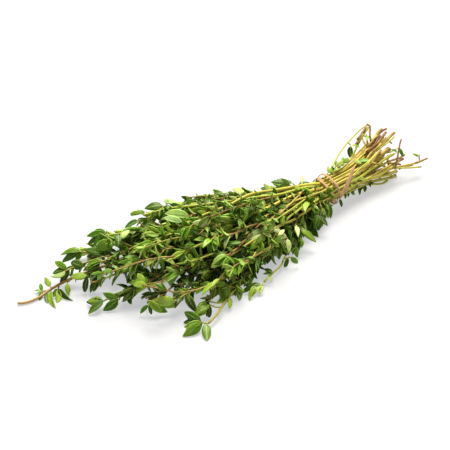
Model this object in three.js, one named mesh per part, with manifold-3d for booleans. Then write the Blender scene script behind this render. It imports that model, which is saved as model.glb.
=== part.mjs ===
// A bunch of fresh thyme lying on a table: long wiry sprigs gathered at a waist, bound there by a
// strip of raffia. The leafy ends fan out along -X and the cut ends splay along +X. The table is
// Z = 0, the near side is -Y, and the origin is the middle of the bunch's footprint.
// All sizes are in millimetres.
import * as THREE from "three";
import { mergeVertices } from "three/addons/utils/BufferGeometryUtils.js";
import Module from "manifold-3d";

const wasm = await Module();
wasm.setup();

// The waist, where the raffia holds the sprigs parallel.
const TIE = new THREE.Vector3(51.4, -6.7, 10);
const WAIST_TO_TIPS = 13;
const WAIST_TO_CUTS = 11;
const SPRIGS_IN_ROW = [5, 6, 7, 6, 5];
const SPRIG_PITCH = 2.2;
const ROW_PITCH = 1.95;

// Stems: woody and thick at the cut, wiry at the tip.
const CUT_RADIUS = 0.8;
const TIP_RADIUS = 0.4;
const STEM_SIDES = 4;
const STEM_STEPS = 12;

// Leaves sit in opposite pairs, each pair a quarter turn round from the last. Of the pairs along a
// stem, only one in so many is kept.
const LEAF_LENGTH = 8;
const LEAF_WIDTH_SHARE = 0.4;
const LEAF_THICKNESS = 0.7;
const PAIR_PITCH = 9;
const PAIRS_KEPT = 3;
const LEAF_SLANT = THREE.MathUtils.degToRad(52);

// A growing tip ends in two close pairs: how far short of the end each sits, its slant, and its size
// as a share of the others'. The pairs before them stop TIP_ROOM short.
const TIP_ROOM = 3;
const TIP_PAIRS = [
  { short: 1.6, slant: THREE.MathUtils.degToRad(39), share: 0.9 },
  { short: 0.5, slant: THREE.MathUtils.degToRad(30), share: 0.7 },
];

// How far a leaf may turn aside to find room, and the gaps it keeps to its neighbours and the table.
const TURNS_ASIDE = [0, 0.6, -0.6];
const CLEARANCE = 0.3;
const TABLE_GAP = 0.05;

// How much stem past the waist stays bare, from the least to the most.
const BARE_STRETCH = [6, 30];

// Side shoots, with smaller leaves, which leave the stem at one slant and turn to the next, part way
// along the leafy stretch.
const SHOOT_LENGTH = 20;
const SHOOT_RADIUS = 0.45;
const SHOOT_LEAF_SCALE = 0.8;
const SHOOT_SLANTS = [0.6, 0.25];
const SHOOT_PLACE = [0.35, 0.65];

// Stubs of old side twigs, so far from the cut.
const STUB_LENGTH = 7;
const STUB_RADIUS = 0.55;
const STUB_SLANT = 0.9;
const STUB_PLACE = [6, 14];

// Where each sprig's tip lies from the tie: along the bunch, across it, and up from the table. One
// list for each row of the waist, from the table up, and each runs from the near side to the far.
const TIPS = [
  [[-90, -28, 2], [-120, -32, 2.6], [-126, -4, 2.6], [-139, 11, 2.6], [-159, 37, 0.7]],
  [[-100, -24, 6], [-122, -15, 7], [-129, 4, 7], [-138, 21, 7], [-142, 35, 8], [-119, 46, 4]],
  [[-84, -21, 9], [-106, -24, 12], [-116, -8, 14], [-125, 9, 14], [-131, 26, 12], [-132, 39, 11],
    [-112, 43, 10]],
  [[-72, -14, 14], [-94, -18, 17], [-107, -4, 19], [-112, 13, 18], [-106, 29, 15], [-92, 39, 13]],
  [[-64, -8, 17], [-86, -8, 21], [-98, 3, 23], [-90, 15, 21], [-76, 27, 18]],
];

// Where each sprig was cut, from the tie, in the same order.
const CUTS = [
  [[38, -5, 0.9], [45, -3.5, 0.9], [50, -1, 1.8], [44, 6, 0.9], [47, 11, 0.9]],
  [[59, -10, 7], [48, -5, 4], [50, -1, 4.6], [45, 4, 5.2], [51, 8, 5], [43, 13, 5]],
  [[43, -8, 9.5], [49, -6, 9], [51, -5, 12], [46, 0, 10], [46, 4, 10], [44, 10, 10], [49, 13, 9]],
  [[43, -4, 14], [41, -2, 17], [45, 1, 15], [51, 9, 16], [45, 10.5, 16], [48, 13, 13.5]],
  [[34, -2, 18.5], [50, 3, 21], [49, 6, 18.5], [47, 5.5, 23], [38, 10, 26]],
];

// A repeatable number from 0 to 1 for one trait of one sprig, so that no two sprigs are alike.
function vary(sprig, trait) {
  const wave = Math.sin(sprig * 12.9898 + trait * 78.233) * 43758.5453;
  return wave - Math.floor(wave);
}

const between = (low, high, share) => low + (high - low) * share;

// The sprig's own line through the waist: rows nest in each other's gaps.
function slotOf(row, column) {
  const across = (column - (SPRIGS_IN_ROW[row] - 1) / 2) * SPRIG_PITCH;
  const up = (row - (SPRIGS_IN_ROW.length - 1) / 2) * ROW_PITCH;
  return new THREE.Vector3(TIE.x, TIE.y + across, TIE.z + up);
}

// From the cut end, straight through the waist and on to the tip, in one smooth run.
function sprigPath(row, column) {
  const slot = slotOf(row, column);
  const cut = new THREE.Vector3(...CUTS[row][column]).setZ(0).add(TIE).setZ(CUTS[row][column][2]);
  const tip = new THREE.Vector3(...TIPS[row][column]).setZ(0).add(TIE).setZ(TIPS[row][column][2]);
  const entry = slot.clone().setX(TIE.x + WAIST_TO_CUTS);
  const exit = slot.clone().setX(TIE.x - WAIST_TO_TIPS);
  const cutRun = cut.x - entry.x;
  const tipRun = exit.x - tip.x;
  const rise = tip.z - exit.z;
  const path = new THREE.CurvePath();
  path.add(new THREE.CubicBezierCurve3(
    cut,
    new THREE.Vector3(cut.x - cutRun * 0.4, between(cut.y, entry.y, 0.4), between(cut.z, entry.z, 0.4)),
    entry.clone().add(new THREE.Vector3(cutRun * 0.3, 0, 0)),
    entry,
  ));
  path.add(new THREE.LineCurve3(entry, exit));
  path.add(new THREE.CubicBezierCurve3(
    exit,
    new THREE.Vector3(exit.x - tipRun * 0.25, exit.y, exit.z + rise * 0.12),
    new THREE.Vector3(tip.x + tipRun * 0.35, between(tip.y, exit.y, 0.33), tip.z - rise * 0.1 + row * 0.9),
    tip,
  ));
  return path;
}

// A closed solid from a closed geometry.
function solidOf(geometry) {
  const bare = geometry.clone();
  bare.deleteAttribute("normal");
  bare.deleteAttribute("uv");
  const merged = mergeVertices(bare, 1e-4);
  return new wasm.Manifold(new wasm.Mesh({
    numProp: 3,
    vertProperties: merged.attributes.position.array,
    triVerts: new Uint32Array(merged.index.array),
  }));
}

// A rod along a path whose radius goes from one size to the other.
function taperedRod(path, steps, sides, startRadius, endRadius) {
  const section = new THREE.Shape();
  for (let side = 0; side < sides; side++) {
    const turn = (side / sides) * 2 * Math.PI;
    section[side ? "lineTo" : "moveTo"](Math.cos(turn), Math.sin(turn));
  }
  section.closePath();
  const rod = new THREE.ExtrudeGeometry(section, { steps, extrudePath: path, bevelEnabled: false });
  const centres = path.getSpacedPoints(steps);
  const corners = rod.attributes.position;
  const corner = new THREE.Vector3();
  for (let i = 0; i < corners.count; i++) {
    corner.fromBufferAttribute(corners, i);
    const distances = centres.map((centre) => centre.distanceToSquared(corner));
    const step = distances.indexOf(Math.min(...distances));
    const radius = between(startRadius, endRadius, step / steps);
    corner.sub(centres[step]).multiplyScalar(radius).add(centres[step]);
    corners.setXYZ(i, corner.x, corner.y, corner.z);
  }
  return solidOf(rod);
}

// Directions across a stem at a heading: level with the table, and up.
function acrossStem(heading) {
  const level = new THREE.Vector3(0, 0, 1).cross(heading).normalize();
  const up = new THREE.Vector3().crossVectors(heading, level);
  return { level, up };
}

// The way that something grows out of a stem: turned round it, and slanted away from its heading.
function growthWay(heading, turn, slant) {
  const { level, up } = acrossStem(heading);
  const out = level.multiplyScalar(Math.cos(turn)).addScaledVector(up, Math.sin(turn));
  return heading.clone().multiplyScalar(Math.cos(slant)).addScaledVector(out, Math.sin(slant));
}

// The same way, turned up where it would take something of this length and half width into the table.
function clearOfTable(way, base, length, halfWidth) {
  const lowest = (halfWidth + TABLE_GAP - base.z) / length;
  return way.z < lowest ? way.clone().setZ(lowest).normalize() : way;
}

// One leaf: a flat pointed blade whose upper face looks along the stem.
function leafSolid(base, heading, turn, slant, length) {
  const width = length * LEAF_WIDTH_SHARE;
  const way = clearOfTable(growthWay(heading, turn, slant), base, length, 0);
  const face = heading.clone().addScaledVector(way, -heading.dot(way)).normalize();
  const side = new THREE.Vector3().crossVectors(face, way);
  const blade = new THREE.OctahedronGeometry(1)
    .scale(length / 2, width / 2, LEAF_THICKNESS / 2)
    .translate(length / 2, 0, 0)
    .applyMatrix4(new THREE.Matrix4().makeBasis(way, side, face).setPosition(base));
  return solidOf(blade);
}

// The pairs on a stretch of stem: the last two are the close pairs of the growing tip.
function leafPairs(path, firstAt, pitch, scale, firstTurn) {
  const length = path.getLength();
  const size = LEAF_LENGTH * scale;
  const pairs = [];
  for (let at = firstAt, number = 0; at < length - TIP_ROOM; at += pitch, number++) {
    pairs.push({ at, turn: firstTurn + (number * Math.PI) / 2, slant: LEAF_SLANT, size });
  }
  TIP_PAIRS.forEach(({ short, slant, share }, number) => {
    pairs.push({ at: length - short, turn: firstTurn + (number * Math.PI) / 2, slant, size: size * share });
  });
  return pairs;
}

// Whether a solid stays above the table and keeps its gap to all the others.
function isClear(solid, others) {
  if (solid.boundingBox().min[2] <= 0) return false;
  return others.every((other) => solid.minGap(other, CLEARANCE) >= CLEARANCE);
}

// Adds a pair's leaves to a sprig. A leaf turns aside from a neighbour, the tie or the table, and is
// left off where there is no room for it.
function addPair(sprig, path, pair, others) {
  const share = pair.at / path.getLength();
  const base = path.getPointAt(share);
  const heading = path.getTangentAt(share);
  for (const half of [0, Math.PI]) {
    const tries = TURNS_ASIDE.map((aside) => (
      leafSolid(base, heading, pair.turn + half + aside, pair.slant, pair.size)
    ));
    const leaf = tries.find((tried) => isClear(tried, others));
    if (leaf) sprig = sprig.add(leaf);
  }
  return sprig;
}

// A shoot that leaves the stem sideways and turns to run with it.
function shootPath(base, heading, turn, length) {
  const out = clearOfTable(growthWay(heading, turn, SHOOT_SLANTS[0]), base, length, 3);
  const bend = base.clone().addScaledVector(out, length * 0.5);
  const along = clearOfTable(growthWay(heading, turn, SHOOT_SLANTS[1]), bend, length * 0.5, 3);
  return new THREE.QuadraticBezierCurve3(base, bend, bend.clone().addScaledVector(along, length * 0.5));
}

function addShoot(sprig, path, at, turn, length, others) {
  const share = at / path.getLength();
  const shoot = shootPath(path.getPointAt(share), path.getTangentAt(share), turn, length);
  const rod = taperedRod(shoot, 3, 4, SHOOT_RADIUS, SHOOT_RADIUS * 0.7);
  if (!isClear(rod, others)) return sprig;
  let grown = sprig.add(rod);
  const pairs = leafPairs(shoot, length, PAIR_PITCH, SHOOT_LEAF_SCALE, turn);
  for (const pair of pairs) grown = addPair(grown, shoot, pair, others);
  return grown;
}

// The stub of an old side twig, near the cut.
function addStub(sprig, path, at, turn, others) {
  const share = at / path.getLength();
  const base = path.getPointAt(share);
  const out = growthWay(path.getTangentAt(share).negate(), turn, STUB_SLANT);
  const way = clearOfTable(out, base, STUB_LENGTH, STUB_RADIUS);
  const end = base.clone().addScaledVector(way, STUB_LENGTH);
  const rod = taperedRod(new THREE.LineCurve3(base, end), 1, STEM_SIDES, STUB_RADIUS, STUB_RADIUS * 0.8);
  return isClear(rod, others) ? sprig.add(rod) : sprig;
}

// ---- The raffia: a flat strip wound round the waist, its turns crossing low on the near side ----
const RAFFIA_ACROSS = 9.1;
const RAFFIA_UP = 6.7;
const RAFFIA_RADIUS = 0.55;
const RAFFIA_END_ROUTE = [
  [-3, -7.2, -4.6], [0.5, -9.6, -2.5], [6, -9.8, 2], [11, -8.4, 6], [16, -4.5, 9.2],
];

// One turn of raffia: an oval ring that leans along the bunch by so much from bottom to top.
function raffiaTurn(offset, lean) {
  const ring = new THREE.TorusGeometry(1, RAFFIA_RADIUS / RAFFIA_UP, 5, 20)
    .rotateY(Math.PI / 2)
    .scale(RAFFIA_UP * 1.4, RAFFIA_ACROSS, RAFFIA_UP);
  const leaning = new THREE.Matrix4().set(
    1, 0, lean, offset,
    0, 1, 0, 0,
    0, 0, 1, 0,
    0, 0, 0, 1,
  );
  return solidOf(ring.applyMatrix4(leaning).translate(TIE.x, TIE.y, TIE.z));
}

// The strip's loose end, laid back up over the cut side of the bunch.
function raffiaEnd() {
  const points = RAFFIA_END_ROUTE.map((point) => new THREE.Vector3(...point).add(TIE));
  const route = new THREE.CatmullRomCurve3(points);
  return taperedRod(route, 7, 5, RAFFIA_RADIUS, RAFFIA_RADIUS * 0.6);
}

function raffiaTie() {
  const [x, y, z] = RAFFIA_END_ROUTE[0];
  const knot = new THREE.SphereGeometry(1, 6, 4)
    .scale(2.2, 1.2, 1.4)
    .translate(TIE.x + x, TIE.y + y, TIE.z + z);
  return raffiaTurn(-4.2, -0.12).add(raffiaTurn(-2.6, 0.05)).add(solidOf(knot)).add(raffiaEnd());
}

// ---- The bunch ----
const LEAF_GREEN = new THREE.MeshStandardMaterial({ color: 0x4f7a2a, roughness: 0.6, metalness: 0 });
const RAFFIA_TAN = new THREE.MeshStandardMaterial({ color: 0xb08a5c, roughness: 0.85, metalness: 0 });

function meshOf(name, solid, material) {
  const { vertProperties, triVerts } = solid.getMesh();
  const geometry = new THREE.BufferGeometry();
  geometry.setAttribute("position", new THREE.BufferAttribute(vertProperties, 3));
  geometry.setIndex(new THREE.BufferAttribute(triVerts, 1));
  const mesh = new THREE.Mesh(geometry, material);
  mesh.name = name;
  return mesh;
}

const sprigs = [];
TIPS.forEach((tips, row) => tips.forEach((tip, column) => {
  const path = sprigPath(row, column);
  sprigs.push({ path, solid: taperedRod(path, STEM_STEPS, STEM_SIDES, CUT_RADIUS, TIP_RADIUS) });
}));
const tie = raffiaTie();

sprigs.forEach((sprig, number) => {
  const others = [tie, ...sprigs.filter((other) => other !== sprig).map((other) => other.solid)];
  const length = sprig.path.getLength();
  const waistAt = sprig.path.curves[0].getLength() + WAIST_TO_CUTS + WAIST_TO_TIPS;
  const bare = between(...BARE_STRETCH, vary(number, 1));
  const turn = vary(number, 2) * Math.PI;
  const size = between(0.9, 1.1, vary(number, 3));
  const pairs = leafPairs(sprig.path, waistAt + bare, PAIR_PITCH * PAIRS_KEPT, size, turn);
  for (const pair of pairs) sprig.solid = addPair(sprig.solid, sprig.path, pair, others);
  const shootAt = between(waistAt + bare, length, between(...SHOOT_PLACE, vary(number, 4)));
  const shootTurn = (number % 2) * Math.PI + between(-0.6, 0.6, vary(number, 5));
  sprig.solid = addShoot(sprig.solid, sprig.path, shootAt, shootTurn, SHOOT_LENGTH, others);
  const stubAt = between(...STUB_PLACE, vary(number, 6));
  const stubTurn = vary(number, 7) * 2 * Math.PI;
  sprig.solid = addStub(sprig.solid, sprig.path, stubAt, stubTurn, others);
});

const bunch = new THREE.Group();
sprigs.forEach((sprig, index) => {
  const number = String(index + 1).padStart(2, "0");
  bunch.add(meshOf(`sprig_${number}`, sprig.solid, LEAF_GREEN));
});
bunch.add(meshOf("raffia_tie", tie, RAFFIA_TAN));

export default bunch;
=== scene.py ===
"""A bunch of fresh thyme lying on a pale table, tied round its waist with a strip of raffia."""

import math
import random

import bmesh
import bpy
from mathutils import Matrix, Vector, noise
from mathutils.geometry import interpolate_bezier
from mathutils.kdtree import KDTree


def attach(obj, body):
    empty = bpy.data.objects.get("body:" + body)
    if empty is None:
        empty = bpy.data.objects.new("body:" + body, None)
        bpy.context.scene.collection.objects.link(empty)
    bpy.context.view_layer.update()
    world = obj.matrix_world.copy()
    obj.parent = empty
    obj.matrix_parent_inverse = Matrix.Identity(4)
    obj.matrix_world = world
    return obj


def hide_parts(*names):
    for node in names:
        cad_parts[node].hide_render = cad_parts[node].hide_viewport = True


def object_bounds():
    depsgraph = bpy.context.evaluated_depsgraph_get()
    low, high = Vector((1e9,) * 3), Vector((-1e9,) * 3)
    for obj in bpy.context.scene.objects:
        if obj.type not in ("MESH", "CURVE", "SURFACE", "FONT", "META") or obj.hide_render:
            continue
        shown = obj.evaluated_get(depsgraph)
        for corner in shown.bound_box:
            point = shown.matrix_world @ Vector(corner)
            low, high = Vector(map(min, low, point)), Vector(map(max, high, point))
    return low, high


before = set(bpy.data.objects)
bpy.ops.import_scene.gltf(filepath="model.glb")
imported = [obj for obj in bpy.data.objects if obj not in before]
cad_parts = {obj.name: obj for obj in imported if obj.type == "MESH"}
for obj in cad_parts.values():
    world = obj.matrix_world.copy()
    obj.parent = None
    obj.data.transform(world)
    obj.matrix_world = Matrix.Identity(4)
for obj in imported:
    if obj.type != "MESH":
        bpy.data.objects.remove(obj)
cad_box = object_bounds()


# ---- The stems ----
# Long wiry stems, squarish and woody where they were cut and thin at the tips, gathered at the waist in
# five nested rows. Each one grew with its side shoots and with the stubs of old twigs near its cut.
# They are drawn in millimetres, like the bunch's other pieces, and scaled to metres once they are done.
MM = 0.001
TIE = Vector((51.4, -6.7, 10.0))
WAIST_TO_TIPS = 13
WAIST_TO_CUTS = 11
SPRIGS_IN_ROW = [5, 6, 7, 6, 5]
SPRIG_PITCH = 2.2
ROW_PITCH = 1.95

# Where each stem's tip lies from the tie, and its height: one list for each row, from the table up,
# and each runs from the near side to the far.
TIPS = [
    [(-90, -28, 2), (-120, -32, 2.6), (-126, -4, 2.6), (-139, 11, 2.6), (-159, 37, 0.7)],
    [(-100, -24, 6), (-122, -15, 7), (-129, 4, 7), (-138, 21, 7), (-142, 35, 8), (-119, 46, 4)],
    [(-84, -21, 9), (-106, -24, 12), (-116, -8, 14), (-125, 9, 14), (-131, 26, 12), (-132, 39, 11),
     (-112, 43, 10)],
    [(-72, -14, 14), (-94, -18, 17), (-107, -4, 19), (-112, 13, 18), (-106, 29, 15), (-92, 39, 13)],
    [(-64, -8, 17), (-86, -8, 21), (-98, 3, 23), (-90, 15, 21), (-76, 27, 18)],
]

# Where each was cut, in the same order.
CUTS = [
    [(38, -5, 0.9), (45, -3.5, 0.9), (50, -1, 1.8), (44, 6, 0.9), (47, 11, 0.9)],
    [(59, -10, 7), (48, -5, 4), (50, -1, 4.6), (45, 4, 5.2), (51, 8, 5), (43, 13, 5)],
    [(43, -8, 9.5), (49, -6, 9), (51, -5, 12), (46, 0, 10), (46, 4, 10), (44, 10, 10), (49, 13, 9)],
    [(43, -4, 14), (41, -2, 17), (45, 1, 15), (51, 9, 16), (45, 10.5, 16), (48, 13, 13.5)],
    [(34, -2, 18.5), (50, 3, 21), (49, 6, 18.5), (47, 5.5, 23), (38, 10, 26)],
]

# A stem's thickness, how it varies from sprig to sprig, and the length of its steps. Its middle line
# stays between these heights, and whatever grows out of it keeps this far off the table.
CUT_RADIUS = 0.8
TIP_RADIUS = 0.48
GIRTHS = (0.66, 1.02)
STEM_SIDES = 6
STEP = 2.0
HIGHEST = 28.5
LOWEST = 0.72
TABLE_GAP = 0.05

# A stem's smooth line: how far it keeps its heading from the cut, before the waist, after it and before
# the tip, as shares of its run there; how it rises and narrows; and how much more the upper rows arch.
CUT_EASE = 0.4
ENTRY_EASE = 0.3
LEAVE_EASE = 0.25
LEAVE_RISE = 0.12
TIP_EASE = 0.35
TIP_NARROWS = 0.33
TIP_DROOP = 0.1
ROW_ARCH = 0.9
CUT_SPOTS = 16
TIP_SPOTS = 60
BEND_SPOTS = 9

# How far a stem wanders from its smooth line, and over what length. It does so least at the waist and
# at its tip, and fully so far from the waist, towards the tips and towards the cuts, and from the tip.
WANDER = 2.4
WANDER_LENGTH = 24.0
KINK = 0.9
KINK_LENGTH = 9.0
WAIST_WANDER = 0.12
TIP_WANDER = 0.25
TIPS_REACH = 30
CUTS_REACH = 34
END_REACH = 20

# How far stems sway over one another beyond the waist, across and up, before they lie side by side.
SWAY = (8.0, 4.0)
SWAY_LENGTH = 80.0

# How far some stems bow aside before their tips: along the bunch, across it and up.
BOWS = {0: (4, -7, 0), 5: (6, 2, 0), 11: (4, 3, 0)}

# How the stem with the long bare end lies down on the table, from the tie.
LAST_BENDS = {4: [(-123, 26.5, 7), (-135, 32, 4.3), (-143, 34.7, 2), (-150, 34.3, 0.9), (-155.5, 34.9, 0.7),
                  (-159, 37.2, 0.7)]}


def vary(sprig, trait):
    """A repeatable number from 0 to 1 for one trait of one sprig."""
    return (math.sin(sprig * 12.9898 + trait * 78.233) * 43758.5453) % 1.0


def between(low, high, share):
    """The number a share of the way from low to high."""
    return low + (high - low) * share


def between_all(low, high, count):
    """So many evenly spaced numbers, from the first to the last."""
    return [between(low, high, index / (count - 1)) for index in range(count)]


def from_tie(x, y, height):
    """A place given from the tie, along the bunch and across it, and by its height over the table."""
    return Vector((TIE.x + x, TIE.y + y, height))


def through(corners):
    """A smooth way through a few corners."""
    way = []
    for index in range(len(corners) - 1):
        start, end = corners[index], corners[index + 1]
        before, after = corners[max(index - 1, 0)], corners[min(index + 2, len(corners) - 1)]
        leave, arrive = start + (end - before) / 6, end - (after - start) / 6
        way += interpolate_bezier(start, leave, arrive, end, BEND_SPOTS)[:-1]
    return way + [corners[-1]]


class Run:
    """A smooth run of stem, through points an even step apart."""

    def __init__(self, points):
        self.points = [points[0]]
        left = STEP
        for start, end in zip(points, points[1:]):
            gap = (end - start).length
            while gap >= left:
                start = start.lerp(end, left / gap)
                self.points.append(start)
                gap = (end - start).length
                left = STEP
            left -= gap
        self.length = STEP * (len(self.points) - 1)

    def at(self, distance):
        """The place and the heading at a distance along the run."""
        place = min(max(distance / STEP, 0.0), len(self.points) - 1.001)
        index = int(place)
        before, after = self.points[index], self.points[index + 1]
        return before.lerp(after, place - index), (after - before).normalized()


def stem_run(number, row, column):
    """From the cut end, straight through the waist and on to the tip, wandering a little beyond it."""
    across = (column - (SPRIGS_IN_ROW[row] - 1) / 2) * SPRIG_PITCH
    up = (row - (len(SPRIGS_IN_ROW) - 1) / 2) * ROW_PITCH
    slot = TIE + Vector((0, across, up))
    cut = from_tie(*CUTS[row][column])
    bends = [from_tie(*bend) for bend in LAST_BENDS.get(number, [TIPS[row][column]])]
    tip = bends[0]
    entry = slot + Vector((WAIST_TO_CUTS, 0, 0))
    leave = slot - Vector((WAIST_TO_TIPS, 0, 0))
    cut_run, tip_run, rise = cut.x - entry.x, leave.x - tip.x, tip.z - leave.z
    near_cut = Vector((cut.x - cut_run * CUT_EASE, between(cut.y, entry.y, CUT_EASE),
                       between(cut.z, entry.z, CUT_EASE)))
    near_entry = entry + Vector((cut_run * ENTRY_EASE, 0, 0))
    past_waist = leave + Vector((-tip_run * LEAVE_EASE, 0, rise * LEAVE_RISE))
    near_tip = Vector((tip.x + tip_run * TIP_EASE, between(tip.y, leave.y, TIP_NARROWS),
                       tip.z - rise * TIP_DROOP + row * ROW_ARCH))
    near_tip += Vector(BOWS.get(number, (0, 0, 0)))
    cut_side = interpolate_bezier(cut, near_cut, near_entry, entry, CUT_SPOTS)
    tip_side = interpolate_bezier(leave, past_waist, near_tip, tip, TIP_SPOTS)
    run = Run(cut_side + tip_side + through(bends)[1:])
    bends_length = (tip - bends[-1]).length
    for index, point in enumerate(run.points):
        beyond = max((leave.x - point.x) / TIPS_REACH, (point.x - entry.x) / CUTS_REACH, WAIST_WANDER)
        settled = TIP_WANDER + max((point - bends[-1]).length - bends_length, 0) / END_REACH
        wander = noise.noise_vector(Vector((index * STEP / WANDER_LENGTH, number * 7.3, 0.5)))
        kink = noise.noise_vector(Vector((index * STEP / KINK_LENGTH, number * 5.1, 2.5)))
        point += (wander * WANDER + kink * KINK) * min(beyond, settled, 1)
        past = min(max(leave.x - point.x, 0) / SWAY_LENGTH, 1)
        point.y += SWAY[0] * (vary(number, 12) - 0.5) * math.sin(math.pi * past)
        point.z += SWAY[1] * (vary(number, 13) - 0.5) * math.sin(math.pi * past)
        point.z = min(max(point.z, LOWEST if point.x < leave.x else CUT_RADIUS * GIRTHS[1]), HIGHEST)
    return run


def across_stem(heading):
    """Directions across a stem: level with the table, and up."""
    level = Vector((0, 0, 1)).cross(heading).normalized()
    return level, heading.cross(level)


def growth_way(heading, turn, slant):
    """The way something grows out of a stem: turned round it, and slanted away from its heading."""
    level, up = across_stem(heading)
    out = level * math.cos(turn) + up * math.sin(turn)
    return heading * math.cos(slant) + out * math.sin(slant)


def clear_of_table(way, base, length, half_width):
    """The same way, turned up where it would take something of this length into the table."""
    lowest = (half_width + TABLE_GAP - base.z) / length
    if way.z < lowest:
        level = way.xy.normalized() * math.sqrt(1 - min(lowest * lowest, 1))
        way = Vector((*level, lowest))
    return way.normalized()


def new_plant(*layers):
    """An empty mesh whose points hold these values."""
    plant = bmesh.new()
    for layer in layers:
        plant.verts.layers.float.new(layer)
    return plant


def capped_ring(plant, sides, radius, seat):
    """A rod's first ring: the cap to push on along the rod, and the rim to close at the end."""
    ring = bmesh.ops.create_circle(plant, cap_ends=True, segments=sides, radius=radius, matrix=seat)
    rim = list({edge for vert in ring["verts"] for edge in vert.link_edges})
    return ring["verts"][0].link_faces[0], rim


def grow_rod(plant, points, radii, sides, ages, tint, cut_start=False):
    """A rod: a ring is capped, and its cap is pushed on, turned and sized again at every point."""
    age, hue, cut = (plant.verts.layers.float[name] for name in ("age", "tint", "cut"))
    heading = (points[1] - points[0]).normalized()
    seat = Matrix.Translation(points[0]) @ heading.to_track_quat("Z", "Y").to_matrix().to_4x4()
    cap, rim = capped_ring(plant, sides, radii[0], seat)
    for vert in cap.verts:
        vert[age], vert[hue], vert[cut] = ages[0], tint, float(cut_start)
    for index in range(1, len(points)):
        cap = bmesh.ops.extrude_discrete_faces(plant, faces=[cap])["faces"][0]
        onward = (points[min(index + 1, len(points) - 1)] - points[index - 1]).normalized()
        turn = heading.rotation_difference(onward).to_matrix().to_4x4()
        size = Matrix.Scale(radii[index] / radii[index - 1], 4)
        move = Matrix.Translation(points[index]) @ turn @ size @ Matrix.Translation(-points[index - 1])
        bmesh.ops.transform(plant, matrix=move, verts=cap.verts)
        for vert in cap.verts:
            vert[age], vert[cut] = ages[index], 0.0
        heading = onward
    bmesh.ops.contextual_create(plant, geom=rim)


# The room that a shoot leaves for its leaves over the table and under the top, how much of its slant
# is left past its bend, and how far its curve's handles reach towards the bend.
SHOOT_ROOM = 3
SHOOT_HEADROOM = 2
SLANT_PAST_BEND = 0.42
SHOOT_HANDLE = 0.67
SHOOT_SPOTS = 16


def shoot_run(base, heading, turn, length, slant):
    """A shoot that leaves its stem sideways and turns to run with it."""
    out = clear_of_table(growth_way(heading, turn, slant), base, length, SHOOT_ROOM)
    bend = base + out * length * 0.5
    on = growth_way(heading, turn, slant * SLANT_PAST_BEND)
    along = clear_of_table(on, bend, length * 0.5, SHOOT_ROOM)
    end = bend + along * length * 0.5
    end.z = min(end.z, HIGHEST - SHOOT_HEADROOM)
    handles = base.lerp(bend, SHOOT_HANDLE), end.lerp(bend, SHOOT_HANDLE)
    return Run(interpolate_bezier(base, *handles, end, SHOOT_SPOTS))


# The bunch's near edge on the table, from the tie, and its far edge as seen slantwise from above, where
# a place's height counts as this many times as much distance along and across.
NEAR_EDGE = [(0, -9), (-21, -15), (-47, -20.5), (-60, -22.5), (-107, -26), (-124, -30), (-160, -30)]
FAR_EDGE = [(24, 26), (7, 28), (-2, 37), (-18, 41), (-29, 52), (-38, 54), (-48, 61), (-61, 67),
            (-71, 68), (-91, 61), (-99, 66), (-110, 57), (-118, 60), (-128, 55), (-160, 45)]
HEIGHT_SEEN = 1.225


def edge_at(edge, x):
    """How far across an edge lies at a distance along the bunch."""
    for (start_x, start_y), (end_x, end_y) in zip(edge, edge[1:]):
        if x >= end_x:
            return between(start_y, end_y, (start_x - x) / (start_x - end_x))
    return edge[-1][1]


def outside(spot):
    """How far a spot lies outside the bunch's near and far edges."""
    x, y = spot.x - TIE.x, spot.y - TIE.y
    seen = spot.z * HEIGHT_SEEN
    return edge_at(NEAR_EDGE, x) - y, y + seen - edge_at(FAR_EDGE, x + seen)


# The one side shoot of each stem that the CAD has too: its length, where it leaves the leafy part, and
# how it turns and leans.
CAD_SHOOT_LENGTH = 20
CAD_SHOOT_SHARES = (0.35, 0.65)
CAD_SHOOT_TURNS = (-0.6, 0.6)
CAD_SHOOT_SLANT = 0.6

# The other side shoots: how many are tried and in how many places, how far they turn from level and
# lean out, and their lengths from the first to the last. Those of the nearest stems turn to the near
# side and are shorter, and so far past the waist those of the lower rows turn up. Their tips end so far
# inside the far edge, none is near the stem's tip, and those of a stem with a bare stretch stand first.
SHOOTS_ON_STEM = 18
SHOOT_PLACES = 8
SHOOT_RADIUS = 0.38
OFF_LEVEL = 0.5
SHOOT_SLANTS = (0.45, 0.85)
SHOOT_LENGTHS = (24, 12)
LENGTHS_VARY = (0.7, 1.15)
NEAR_TURNS = (1.8, 3.6)
NEAR_SHORTER = 0.7
LOWER_ROWS = 3
TURNED_UP_FROM = 40
FAR_SHOOTS = (-14, -2)
NO_SHOOTS_NEAR_TIP = 14
SHARE_BEFORE_BARE = 0.3

# Stubs of old twigs near the cut, and their ages and girths from the stem outwards.
STUB_AT = (6, 14)
STUB_SLANT = 0.9
STUB_LENGTH = 7
STUB_RADIUS = 0.55
STUB_AGES = (0.05, 0.03, 0.0)
STUB_GIRTHS = (1.0, 0.9, 0.8)

# The bare stretch between the waist and the first leaves: the shortest and the longest in each row, and
# in the CAD. One thin stem that comes out of the near side by itself has another bare stretch there.
BARE = [(-8, 6), (-8, 8), (-6, 14), (4, 24), (12, 34)]
BARE_STRETCH = {0: (36, 200)}
CAD_BARE = (6, 30)

# Every stem forks soon after the waist, into a branch that runs on beside it. The forks of the outer
# stems are shorter, and each one is cut down, though not to nothing, until it ends inside the bunch.
FORK_AT = (-2, 24)
FORK_LENGTH = (46, 74)
FORK_BEFORE_TIP = 8
FORK_RADIUS = 0.55
FORK_SLANTS = (0.14, 0.3)
OUTER_FORKS = 0.6
FORK_INSIDE = 5
SHORTEST_FORK = 20
FORK_SHRINK = 0.85

# The last stretch of some stems bears only leaves that are listed, or none. The one that lies
# bare along the table is thicker there.
BARE_TIP = {0: 8, 1: 16, 2: 10, 3: 20, 4: 28, 16: 20, 17: 14}
BARE_TIP_RADIUS = 0.6

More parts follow.
